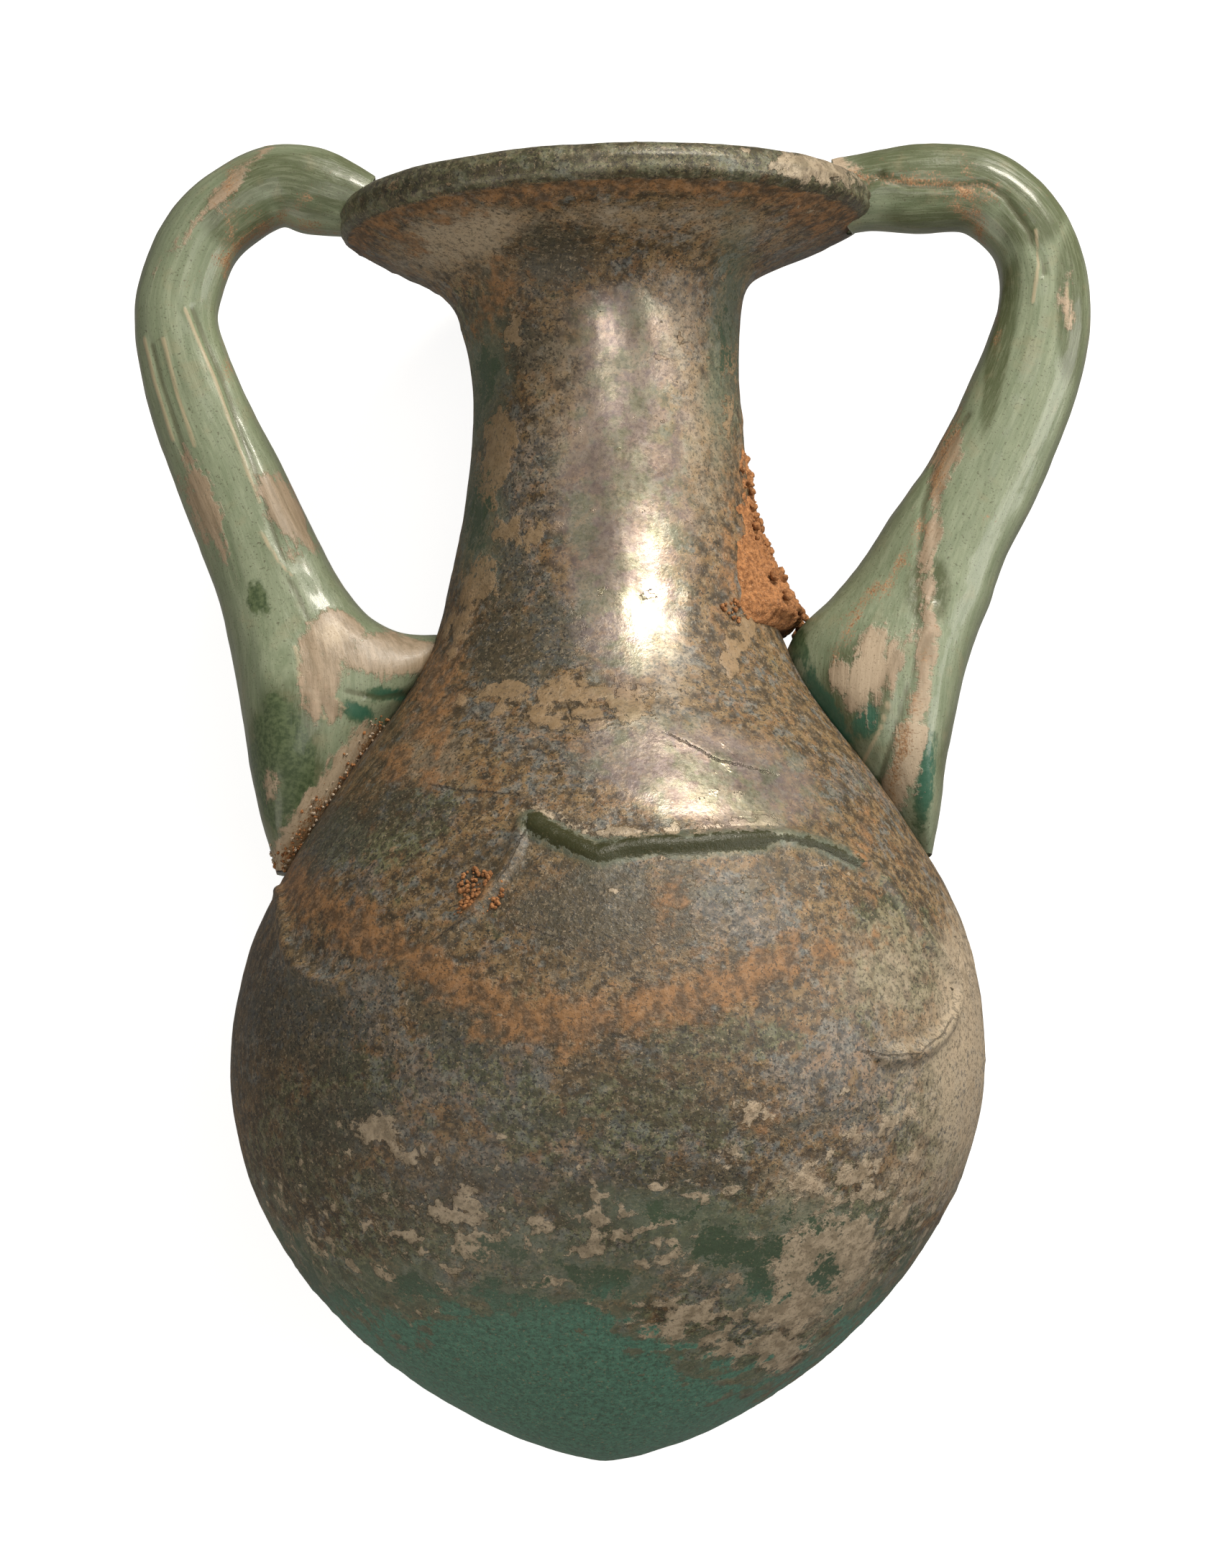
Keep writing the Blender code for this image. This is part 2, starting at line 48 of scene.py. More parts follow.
# The blown vessel's own sizes, as the solids have them.
BELLY_RADIUS = 0.0353
SHOULDER_RADIUS = 0.0299
NECK_FOOT_RADIUS = 0.0165
NECK_RADIUS = 0.01265
RIM_RADIUS = 0.0254
RIM_WIDTH = 0.0044
BELLY_HEIGHT = 0.0374
SHOULDER_HEIGHT = BELLY_HEIGHT + 0.0186
NECK_FOOT_HEIGHT = SHOULDER_HEIGHT + 0.0210
NECK_WAIST_HEIGHT = NECK_FOOT_HEIGHT + 0.0225
FUNNEL_START_HEIGHT = NECK_WAIST_HEIGHT + 0.0085
FOLD_HEIGHT = FUNNEL_START_HEIGHT + 0.0081
RIM_HEIGHT = 0.0038
HEIGHT = FOLD_HEIGHT + RIM_HEIGHT
WALL = 0.0018
NECK_WALL = 0.0020
TIP_WALL = 0.0040
FLAT_DEPTH = 0.0003
POINT_POWER = 0.665
BELLY_BEND = ((-0.22, 0.05), (0.0, 0.0), (0.30, 0.09), (0.64, 0.38))
SHOULDER_BEND = ((0.0, 0.0), (0.38, 0.38), (0.74, 0.79))
NECK_BEND = ((0.0, 0.0), (0.25, 0.40), (0.55, 0.74))
WAIST_BEND = ((0.0, 0.0),)
FUNNEL_BEND = ((0.0, 0.06), (0.42, 0.21), (0.75, 0.60), (1.0, 1.0))
FOLD_TUCK = 0.2
INNER_ROUNDNESS = 0.6
FUNNEL_THICKENING = 1.6
INSIDE_CLIMB = 0.8
CENTRE_LINE = (
    (0.0, -0.0002), (0.108, -0.0005), (0.242, -0.0002), (0.375, 0.0002), (0.467, 0.0004),
    (0.651, 0.0001), (0.834, -0.0001), (0.905, -0.0008), (0.938, -0.0014), (0.972, -0.0003),
    (1.0, -0.0002),
)
RIM_SLOPE = 0.036

# The handles' own sizes and stations, as the solids have them: share of the way down, share
# of the reach, then outer half, inner half and half depth as shares of HANDLE_HALF_WIDTH.
HANDLE_HALF_WIDTH = 0.0040
LEFT_REACH = 0.0411
RIGHT_REACH = 0.0417
LEFT_FOOT_DROP = 0.0010
RIGHT_FOOT_DROP = -0.0002
FULLEST_DOWN = 0.12
SECTION_POWER = 0.8
LEFT_STATIONS = (
    (-0.010, -0.18, 0.750, 0.750, 0.850),
    (-0.026, 0.02, 0.950, 0.950, 0.925),
    (-0.037, 0.19, 1.050, 1.050, 0.975),
    (-0.050, 0.38, 1.000, 1.000, 0.975),
    (-0.033, 0.57, 1.000, 1.000, 0.975),
    (0.006, 0.78, 1.000, 1.000, 1.000),
    (0.052, 0.91, 1.000, 1.025, 1.025),
    (0.127, 0.99, 1.025, 1.050, 1.050),
    (0.183, 0.98, 1.050, 1.050, 1.075),
    (0.292, 0.80, 1.200, 1.175, 1.125),
    (0.400, 0.56, 1.300, 1.275, 1.225),
    (0.511, 0.31, 1.375, 1.350, 1.375),
    (0.587, 0.20, 1.325, 1.650, 1.500),
    (0.646, 0.13, 1.300, 2.200, 1.650),
    (0.683, 0.09, 1.275, 3.125, 1.800),
    (0.730, 0.06, 1.225, 3.500, 1.950),
    (0.786, 0.02, 1.150, 2.500, 2.000),
    (0.841, 0.00, 1.025, 1.750, 1.925),
    (0.905, 0.00, 0.750, 1.150, 1.650),
    (0.964, 0.01, 0.400, 0.600, 1.150),
    (1.005, 0.00, 0.150, 0.150, 0.500),
)
RIGHT_STATIONS = (
    (-0.026, -0.24, 0.925, 0.925, 0.850),
    (-0.040, 0.00, 0.950, 0.950, 0.925),
    (-0.040, 0.24, 1.075, 1.075, 0.975),
    (-0.045, 0.50, 1.050, 1.050, 0.975),
    (-0.036, 0.68, 1.050, 1.050, 1.000),
    (0.004, 0.86, 1.050, 1.050, 1.025),
    (0.049, 0.97, 1.050, 1.050, 1.050),
    (0.129, 1.00, 1.125, 1.125, 1.075),
    (0.214, 0.91, 1.225, 1.225, 1.125),
    (0.298, 0.77, 1.300, 1.300, 1.175),
    (0.409, 0.53, 1.375, 1.350, 1.250),
    (0.521, 0.31, 1.250, 1.700, 1.400),
    (0.586, 0.21, 1.250, 2.050, 1.525),
    (0.638, 0.14, 1.150, 2.500, 1.675),
    (0.683, 0.09, 1.075, 3.125, 1.825),
    (0.740, 0.04, 1.000, 3.250, 1.950),
    (0.801, 0.00, 0.900, 2.450, 2.000),
    (0.858, -0.02, 0.750, 1.650, 1.900),
    (0.914, -0.01, 0.575, 1.100, 1.600),
    (0.961, 0.00, 0.350, 0.600, 1.150),
    (0.998, 0.01, 0.150, 0.150, 0.500),
)

# The trailed thread's route, as the solid has it: degrees round from the front, share of the
# way up from the belly to the foot of the neck, share of the full width.
TRAIL_WIDTH = 0.0019
THREAD_STANDS = 0.00065
TRAIL_ROUTE = (
    (41.7, -0.036, 0.20), (43.5, -0.041, 0.70), (46.2, -0.045, 0.95), (51.3, -0.033, 0.95),
    (57.8, 0.004, 0.90), (61.9, 0.047, 0.85), (65.2, 0.093, 0.85), (66.6, 0.137, 0.80),
    (64.5, 0.175, 0.80), (61.5, 0.205, 0.80), (58.0, 0.242, 0.85), (54.4, 0.298, 0.85),
    (52.1, 0.347, 0.90), (49.1, 0.389, 0.95), (45.6, 0.416, 1.00), (38.3, 0.443, 1.00),
    (32.5, 0.455, 1.00), (23.8, 0.446, 0.95), (12.0, 0.429, 0.95), (5.9, 0.424, 1.00),
    (1.0, 0.413, 1.05), (-2.7, 0.398, 1.30), (-7.4, 0.428, 1.10), (-11.3, 0.454, 1.15),
    (-14.6, 0.480, 1.10), (-15.8, 0.450, 0.85), (-16.5, 0.395, 0.75), (-19.8, 0.298, 0.75),
    (-22.6, 0.247, 0.80), (-27.0, 0.194, 0.85), (-31.0, 0.163, 0.90), (-36.0, 0.138, 0.95),
    (-41.6, 0.116, 1.00), (-48.0, 0.122, 1.05), (-53.8, 0.162, 1.05), (-58.5, 0.211, 1.05),
    (-62.0, 0.262, 1.00), (-67.0, 0.318, 0.90), (-74.0, 0.370, 0.70), (-83.0, 0.394, 0.50),
    (-92.0, 0.390, 0.50), (-104.0, 0.330, 0.90), (-116.0, 0.230, 1.00), (-128.0, 0.155, 1.00),
    (-140.0, 0.145, 1.00), (-151.0, 0.220, 1.00), (-160.0, 0.330, 1.00), (-170.0, 0.420, 1.00),
    (-182.0, 0.450, 1.00), (-195.0, 0.420, 1.00), (-206.0, 0.330, 1.00), (-217.0, 0.210, 1.00),
    (-229.0, 0.145, 1.00), (-241.0, 0.155, 1.00), (-252.0, 0.240, 0.90), (-260.0, 0.330, 0.70),
    (-264.0, 0.370, 0.30),
)

# The earth in the corner of the neck and the right handle, as the solid has it.
SOIL_START = 0.0006
SOIL_LENGTH = 0.0182
SOIL_FRONT_ANGLE = 50
SOIL_BACK_ANGLE = 128
SOIL_THICKEST = 0.0033
SOIL_EDGE = 0.0004
SOIL_CRUMBS = 70

# Fineness of the visible meshes.
VESSEL_TURNS = 300
OUTSIDE_RINGS = 214
INSIDE_RINGS = 34
BELLY_STEPS = 90
TIP_STEPS = 1000
UPPER_STEPS = 240
HANDLE_SIDES = 120
HANDLE_STEPS = 16
TRAIL_STEPS = 10

# How far the vessel's facets crowd to the front, how many times a handle is smoothed, and over
# how many steps to each side its direction and its spine are evened out.
FRONT_CROWDING = 0.45
HANDLE_SMOOTHINGS = 30
HANDLE_TURNING = 11
SPINE_EASE = 9

# A painted patch is kept as steps of so many pixels from its edge, and so many steps at most.
PATCH_STEP = 3
PATCH_REACH = 20

# A soft-edged zone starts and is full at these shares of its size inside its edge.
ZONE_START = -0.35
ZONE_FULL = 0.75

# The sizes of the noise that breaks the painted edges up and swells the surfaces.
COARSE_GRAIN = 7 * MM
MEDIUM_GRAIN = 2.2 * MM
FINE_GRAIN = 0.8 * MM
STREAK_GRAIN = 1.6 * MM
HANDLE_COARSE_GRAIN = 5 * MM
HANDLE_MEDIUM_GRAIN = 1.8 * MM
STREAK_STRETCH = (0.45, 1.6, 1.0)

# How far things stand out of the vessel or lie in it.
SWELL_HEIGHT = 0.09 * MM
LUMP_HEIGHT = 0.045 * MM
GRAIN_HEIGHT = 0.012 * MM
FLAKE_HEIGHT = 0.07 * MM
BARE_DEPTH = 0.08 * MM
EARTH_HEIGHT = 0.03 * MM
EARTH_LUMPS = 0.06 * MM
CRACK_LIP = 0.05 * MM
THREAD_LIP_HEIGHT = 0.10 * MM
COLLAR_GROOVE = 0.22 * MM
SECOND_GROOVE = 0.08 * MM
COLLAR_CREASE = 0.42 * MM

# How far the same and the drawn streaks stand out of the handles or lie in them.
HANDLE_SWELL = 0.08 * MM
HANDLE_DIRT = 0.05 * MM
STREAK_DEPTH = 0.20 * MM
RIB_HEIGHT = 0.12 * MM

# Half widths in pixels of what is painted along lines.
EARTH_BAND_HALF = 34
EARTH_SEAM_HALF = 18
THREAD_LIP_HALF = 6
THREAD_RIDGE_HALF = 7
THREAD_SHOWS_HALF = 13
THREAD_FADES_HALF = 5
RIB_HALF = 3.4
CREASE_HALF = 5

# How far inside the film the thread lies where none of it shows, in the steps of a patch.
THREAD_COVERED = 12

# Colours of the glass under the film, and dark, light and glinting colours of the earth.
TEAL_GLASS = (0.047, 0.120, 0.084)
DARK_GREEN_GLASS = (0.036, 0.058, 0.030)
THREAD_GLASS = (0.030, 0.031, 0.012)
ORANGE_EARTH = ((0.110, 0.040, 0.012), (0.380, 0.170, 0.064), (0.540, 0.370, 0.230))
PALE_GRIT = ((0.200, 0.130, 0.080), (0.520, 0.430, 0.330), (0.800, 0.760, 0.680))

# How deep the hidden ends of the handles are held in the vessel's wall.
HELD_DEPTH = 0.0007

# The web that runs level from the left handle's pad to the foot of the neck.
LEFT_WEB = 0.0034
LEFT_WEB_FROM_AXIS = 0.0156
LEFT_WEB_HALF = 0.0024
LEFT_WEB_REACH = 0.0024


def blend(low, high, share):
    return low + (high - low) * share


def smooth_step(value):
    clipped = min(max(value, 0.0), 1.0)
    return clipped * clipped * (3 - 2 * clipped)


def smooth(values, low, high):
    """The same for a whole array: 0 below low, 1 above high."""
    share = np.clip((values - low) / (high - low), 0.0, 1.0)
    return share * share * (3 - 2 * share)


def curve_value(stations, place):
    """A smooth curve through (place, value, ...) rows; the rest of a row comes too."""
    places = [row[0] for row in stations]
    place = min(max(place, places[0]), places[-1])
    index = min(max(bisect.bisect_right(places, place) - 1, 0), len(places) - 2)
    here, there = stations[index], stations[index + 1]
    before = stations[max(index - 1, 0)]
    after = stations[min(index + 2, len(stations) - 1)]
    length = there[0] - here[0]
    share = (place - here[0]) / length
    values = []
    for column in range(1, len(here)):
        slope_here = (there[column] - before[column]) / (there[0] - before[0]) * length
        slope_there = (after[column] - here[column]) / (after[0] - here[0]) * length
        values.append(
            (2 * share**3 - 3 * share**2 + 1) * here[column]
            + (share**3 - 2 * share**2 + share) * slope_here
            + (3 * share**2 - 2 * share**3) * there[column]
            + (share**3 - share**2) * slope_there
        )
    return values


def upper_outline():
    """(height, radius) stations from the belly to the fold under the rim."""
    fold_radius = RIM_RADIUS - RIM_WIDTH * FOLD_TUCK
    corners = (
        (BELLY_HEIGHT, BELLY_RADIUS), (SHOULDER_HEIGHT, SHOULDER_RADIUS),
        (NECK_FOOT_HEIGHT, NECK_FOOT_RADIUS), (NECK_WAIST_HEIGHT, NECK_RADIUS),
        (FUNNEL_START_HEIGHT, NECK_RADIUS), (FOLD_HEIGHT, fold_radius),
    )
    bends = (BELLY_BEND, SHOULDER_BEND, NECK_BEND, WAIST_BEND, FUNNEL_BEND)
    stations = []
    for low, high, bend in zip(corners, corners[1:], bends):
        for up, change in bend:
            stations.append((blend(low[0], high[0], up), blend(low[1], high[1], change)))
    return stations


UPPER_OUTLINE = upper_outline()


def outer_radius(height):
    """The vessel's outside radius at a height above the tip."""
    if height < BELLY_HEIGHT:
        share = (BELLY_HEIGHT - max(height, 0.0)) / BELLY_HEIGHT
        return BELLY_RADIUS * (1 - share * share) ** POINT_POWER
    return curve_value(UPPER_OUTLINE, height)[0]


def outside_points():
    """The outside from the tip up to the fold, in even steps along its length."""
    heights = [BELLY_HEIGHT * (1 - math.cos(math.radians(90 * step / BELLY_STEPS)))
               for step in range(1, BELLY_STEPS + 1)]
    heights += [blend(BELLY_HEIGHT, FOLD_HEIGHT, step / UPPER_STEPS)
                for step in range(1, UPPER_STEPS + 1)]
    coarse = [(0.0, 0.0)] + [(outer_radius(height), height) for height in heights]
    lengths = [0.0]
    for before, after in zip(coarse, coarse[1:]):
        lengths.append(lengths[-1] + math.dist(before, after))
    points = []
    for ring in range(OUTSIDE_RINGS + 1):
        reach = lengths[-1] * ring / OUTSIDE_RINGS
        index = min(max(bisect.bisect_right(lengths, reach) - 1, 0), len(coarse) - 2)
        share = (reach - lengths[index]) / (lengths[index + 1] - lengths[index])
        low, high = coarse[index], coarse[index + 1]
        points.append((blend(low[0], high[0], share), blend(low[1], high[1], share)))
    return points


def rim_points():
    """The folded collar's section, from its outer foot over its top to the mouth."""
    half = RIM_HEIGHT / 2
    middle = HEIGHT - half
    outer = RIM_RADIUS - half
    inner_half = half * INNER_ROUNDNESS
    inner = RIM_RADIUS - RIM_WIDTH + inner_half
    arcs = ((outer, half, range(-55, 91, 10)), (inner, inner_half, range(100, 171, 14)))
    return [(centre + width * math.cos(math.radians(turn)), middle + half * math.sin(math.radians(turn)))
            for centre, width, turns in arcs for turn in turns]


def wall_at(height):
    share = (height - BELLY_HEIGHT) / (NECK_FOOT_HEIGHT - BELLY_HEIGHT)
    return blend(WALL, NECK_WALL, smooth_step(share))


def inside_points():
    """The inside from the mouth down to the bottom of the hollow."""
    points = []
    for step in range(5):
        share = step / 4
        height = blend(FOLD_HEIGHT, FUNNEL_START_HEIGHT, share)
        lift = NECK_WALL * (1 - share) * INSIDE_CLIMB
        wall = NECK_WALL * blend(FUNNEL_THICKENING, 1.0, share)
        points.append((outer_radius(height) - wall, height + lift))
    rings = INSIDE_RINGS // 2
    for step in range(1, rings):
        height = blend(FUNNEL_START_HEIGHT, BELLY_HEIGHT, step / rings)
        slope = (outer_radius(height + MM) - outer_radius(height - MM)) / (2 * MM)
        points.append((outer_radius(height) - wall_at(height) * math.hypot(1, slope), height))
    depth = BELLY_HEIGHT - TIP_WALL
    for step in range(rings):
        share = math.sin(math.radians(step * 90 / rings))
        radius = (BELLY_RADIUS - WALL) * (1 - share * share) ** POINT_POWER
        points.append((radius, BELLY_HEIGHT - depth * share))
    return points + [(0.0, TIP_WALL)]


def hand_blown(place):
    """Moves a point of the true turned form to where the hand-blown one has it."""
    shift = curve_value(CENTRE_LINE, place.y / HEIGHT)[0]
    top_share = smooth_step((place.y - NECK_WAIST_HEIGHT) / (FOLD_HEIGHT - NECK_WAIST_HEIGHT))
    return Vector((place.x + shift, place.y + place.x * RIM_SLOPE * top_share, place.z))


def lying_tilt():
    """The slope of the axis when both the belly and the rim touch the ground."""
    belly = [point for point in outside_points() if point[1] < NECK_FOOT_HEIGHT]

    def reach(points, tilt):
        return max(radius * math.cos(tilt) + up * math.sin(tilt) for radius, up in points)

    low, high = 0.0, math.radians(30)
    for _ in range(40):
        tilt = (low + high) / 2
        if reach(belly, tilt) > reach(rim_points(), tilt):
            low = tilt
        else:
            high = tilt
    return tilt, reach(belly, tilt)


def lying_place():
    """The matrix that lays the flask down where the solids lie."""
    tilt, depth = lying_tilt()
    turn = Matrix.Rotation(-tilt, 4, "X")
    low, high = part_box("vessel")
    near_tip = [step * BELLY_HEIGHT / TIP_STEPS for step in range(TIP_STEPS // 5)]
    lowest_y = min((turn @ Vector((0.0, up, outer_radius(up) * side))).y
                   for up in near_tip for side in (-1, 1))
    middle_shift = curve_value(CENTRE_LINE, BELLY_HEIGHT / HEIGHT)[0]
    across = (low.x + high.x) / 2 - middle_shift
    return Matrix.Translation((across, low.y - lowest_y, depth - FLAT_DEPTH)) @ turn


def picture_place(places):
    """Where world points show in the photographed view, as arrays of x and y pixels."""
    away = CAMERA_HEIGHT - places[:, 2]
    across = AXIS_PIXEL + PIXELS_PER_SLOPE * (places[:, 0] - AXIS_X) / away
    down = MIDDLE_PIXEL - PIXELS_PER_SLOPE * (places[:, 1] - MIDDLE_Y) / away
    return across, down


def front_point(pixel):
    """The point of the vessel's front that shows at a pixel, and the way out of it."""
    level = LOOKED_AT_HEIGHT
    for _ in range(40):
        away = (CAMERA_HEIGHT - level) / PIXELS_PER_SLOPE
        world = Vector((AXIS_X + (pixel[0] - AXIS_PIXEL) * away,
                        MIDDLE_Y - (pixel[1] - MIDDLE_PIXEL) * away, level))
        local = UNLAID @ world
        radius = outer_radius(local.y)
        shift = curve_value(CENTRE_LINE, local.y / HEIGHT)[0]
        depth = math.sqrt(max(radius**2 - (local.x - shift) ** 2, 0.0))
        settled = LAID @ Vector((local.x, local.y, depth))
        level = blend(level, settled.z, 0.6)
    slope = (outer_radius(local.y + MM) - outer_radius(local.y - MM)) / (2 * MM)
    out = Vector((local.x - shift, -slope * radius, depth)).normalized()
    return settled, (LAID.to_3x3() @ out).normalized()


class Canvas:
    """Where each point of a piece lies in the photographed view, and how it faces there."""

    def __init__(self, mesh):
        count = len(mesh.vertices)
        self.mesh = mesh
        self.places = np.empty(count * 3)
        mesh.vertices.foreach_get("co", self.places)
        self.places = self.places.reshape(-1, 3)
        self.normals = np.empty(count * 3)
        mesh.vertex_normals.foreach_get("vector", self.normals)
        self.normals = self.normals.reshape(-1, 3)
        self.x, self.y = picture_place(self.places)
        self.local = self.places @ np.array(UNLAID.to_3x3()).T + np.array(UNLAID.translation)
        slope = RIM_SLOPE * smooth(self.local[:, 1], NECK_WAIST_HEIGHT, FOLD_HEIGHT)
        self.up = self.local[:, 1] - self.local[:, 0] * slope
        self.front = smooth(self.normals[:, 2], -0.05, 0.15)

    def grain(self, size, seed, octaves=3, stretch=(1, 1, 1)):
        """Soft noise of a given size in metres, about -1 to 1."""
        steps = self.places / size * np.array(stretch) + seed * 17.3
        return np.array([noise.fractal(Vector(step), 0.9, 2.1, octaves) for step in steps])

    def spot(self, centre, size, turn=0.0):
        """Pixels inside the edge of an oval spot; negative outside."""
        angle = math.radians(turn)
        across, down = self.x - centre[0], self.y - centre[1]
        along = (across * math.cos(angle) + down * math.sin(angle)) / size[0]
        aside = (down * math.cos(angle) - across * math.sin(angle)) / size[1]
        return (1 - np.hypot(along, aside)) * min(size)

    def spots(self, rows):
        """The same for several (x, y, half width, half height, turn) rows at once."""
        field = np.full(len(self.x), -1e3)
        for x, y, width, height, turn in rows:
            field = np.maximum(field, self.spot((x, y), (width, height), turn))
        return field

    def line(self, points):
        """Pixels away from a line of points."""
        nearest = np.full(len(self.x), 1e4)
        for start, end in zip(points, points[1:]):
            run = (end[0] - start[0], end[1] - start[1])
            length = max(run[0] ** 2 + run[1] ** 2, 1e-9)
            share = ((self.x - start[0]) * run[0] + (self.y - start[1]) * run[1]) / length
            share = np.clip(share, 0, 1)
            away = np.hypot(self.x - start[0] - share * run[0], self.y - start[1] - share * run[1])
            nearest = np.minimum(nearest, away)
        return nearest

    def beside(self, lines):
        """Pixels to one side or the other of the nearest line, and 1 to 0 past its ends."""
        nearest = np.full(len(self.x), 1e4)
        aside = np.full(len(self.x), 60.0)
        reach = np.zeros(len(self.x))
        for points in lines:
            for number, (start, end) in enumerate(zip(points, points[1:])):
                run = np.array(end, float) - start
                length = np.hypot(*run)
                along = ((self.x - start[0]) * run[0] + (self.y - start[1]) * run[1]) / length
                across = ((self.y - start[1]) * run[0] - (self.x - start[0]) * run[1]) / length
                past = np.maximum(np.maximum(-along, along - length), 0.0)
                near = np.hypot(across, past) < nearest
                nearest = np.where(near, np.hypot(across, past), nearest)
                aside = np.where(near, across, aside)
                first_or_last = (number == 0) & (along < 0)
                first_or_last |= (number == len(points) - 2) & (along > length)
                fade = np.where(first_or_last, 1 - past / 14, 1.0)
                reach = np.where(near, np.clip(fade, 0, 1), reach)
        return np.clip(aside, -60, 60), reach * self.front

    def ridge(self, points, half_width):
        """1 along a line of points, falling to 0 beside it."""
        return np.exp(-((self.line(points) / half_width) ** 2)) * self.front

    def move_out(self, distance):
        self.places += self.normals * distance[:, None]
        self.places[:, 2] = np.maximum(self.places[:, 2], 0.0)
        self.mesh.vertices.foreach_set("co", self.places.ravel())
        self.mesh.update()

    def keep(self, name, values):
        """Stores an array as an attribute for the material."""
        layer = self.mesh.attributes.new(name, "FLOAT", "POINT")
        layer.data.foreach_set("value", np.asarray(values, np.float32))

    def keep_patch(self, name, pixels):
        """Stores pixels inside a patch's edge, as short steps from it."""
        self.keep(name, np.clip(pixels / PATCH_STEP, -PATCH_REACH, PATCH_REACH))

    def level(self, height, half_width):
        """1 on a level line round the vessel, falling to 0 beside it."""
        return np.exp(-(((self.up - height) / half_width) ** 2))


class Value:
    """A socket of a material that Python sums can be written with."""

    def __init__(self, nodes, socket):
        self.nodes = nodes
        self.socket = socket

    def sum(self, operation, *values):
        return self.nodes.make("ShaderNodeMath", {"operation": operation}, values)

    def __add__(self, other):
        return self.sum("ADD", self, other)

    def __sub__(self, other):
        return self.sum("SUBTRACT", self, other)

    def __rsub__(self, other):
        return self.sum("SUBTRACT", other, self)

    def __mul__(self, other):
        return self.sum("MULTIPLY", self, other)

    __radd__ = __add__
    __rmul__ = __mul__

    def rise(self, low, high):
        """0 below low, 1 above high, smooth between."""
        settings = {"interpolation_type": "SMOOTHSTEP"}
        return self.nodes.make("ShaderNodeMapRange", settings, [self, low, high])

    def size(self):
        return self.sum("ABSOLUTE", self)

    def either(self, other):
        return self.sum("MAXIMUM", self, other)


class Finish:
    """A material and the nodes that make it."""

    def __init__(self, name):
        self.material = bpy.data.materials.new(name)
        self.material.use_nodes = True
        self.tree = self.material.node_tree
        self.tree.nodes.clear()
        place = self.make("ShaderNodeTexCoord", {}, {}, "Object")
        self.place = self.make("ShaderNodeVectorMath", {"operation": "SCALE"},
                               {"Vector": place, "Scale": 1 / MM})

    def make(self, kind, settings, values, output=0):
        """Adds a node, sets it up, and fills its sockets with numbers or links."""
        node = self.tree.nodes.new(kind)
        for name, setting in settings.items():
            setattr(node, name, setting)
        pairs = values.items() if isinstance(values, dict) else enumerate(values)
        for key, value in pairs:
            if isinstance(value, Value):
                self.tree.links.new(value.socket, node.inputs[key])
            else:
                node.inputs[key].default_value = value
        return Value(self, node.outputs[output]) if node.outputs else None

    def grain(self, per_mm, detail=3.0, rough=0.55, stretch=None, shift=0.0):
        """Noise about 0 to 1, with so many blotches to the millimetre."""
        place = self.place
        if stretch:
            values = {"Vector": place, "Scale": stretch, "Location": (shift, shift, shift)}
            place = self.make("ShaderNodeMapping", {}, values)
        return self.make("ShaderNodeTexNoise", {}, {
            "Vector": place, "Scale": per_mm, "Detail": detail, "Roughness": rough})

    def three_grains(self, per_mm, detail, rough):
        """Three unlike noises about 0 to 1."""
        colour = self.make("ShaderNodeTexNoise", {}, {
            "Vector": self.place, "Scale": per_mm, "Detail": detail, "Roughness": rough}, "Color")
        return [self.make("ShaderNodeSeparateColor", {}, [colour], channel) for channel in range(3)]

    def painted(self, name):
        """An attribute of the mesh."""
        return self.make("ShaderNodeAttribute", {"attribute_name": name}, {}, "Fac")

    def mix(self, share, first, second):
        colours = [(*colour, 1.0) if isinstance(colour, tuple) else colour
                   for colour in (first, second)]
        return self.make("ShaderNodeMix", {"data_type": "RGBA"},
                         {0: share, 6: colours[0], 7: colours[1]}, 2)

    def layers(self, colour, rows):
        """Mixes (share, colour) rows over a colour, one after another."""
        for share, over in rows:
            colour = self.mix(share, colour, over)
        return colour

    def bump(self, height, distance):
        return self.make("ShaderNodeBump", {}, {"Height": height, "Distance": distance})

    def surface(self, values):
        return self.make("ShaderNodeBsdfPrincipled", {}, values)

    def both(self, share, first, second):
        return self.make("ShaderNodeMixShader", {}, [share, first, second])

    def done(self, shader):
        self.make("ShaderNodeOutputMaterial", {}, [shader])
        return self.material


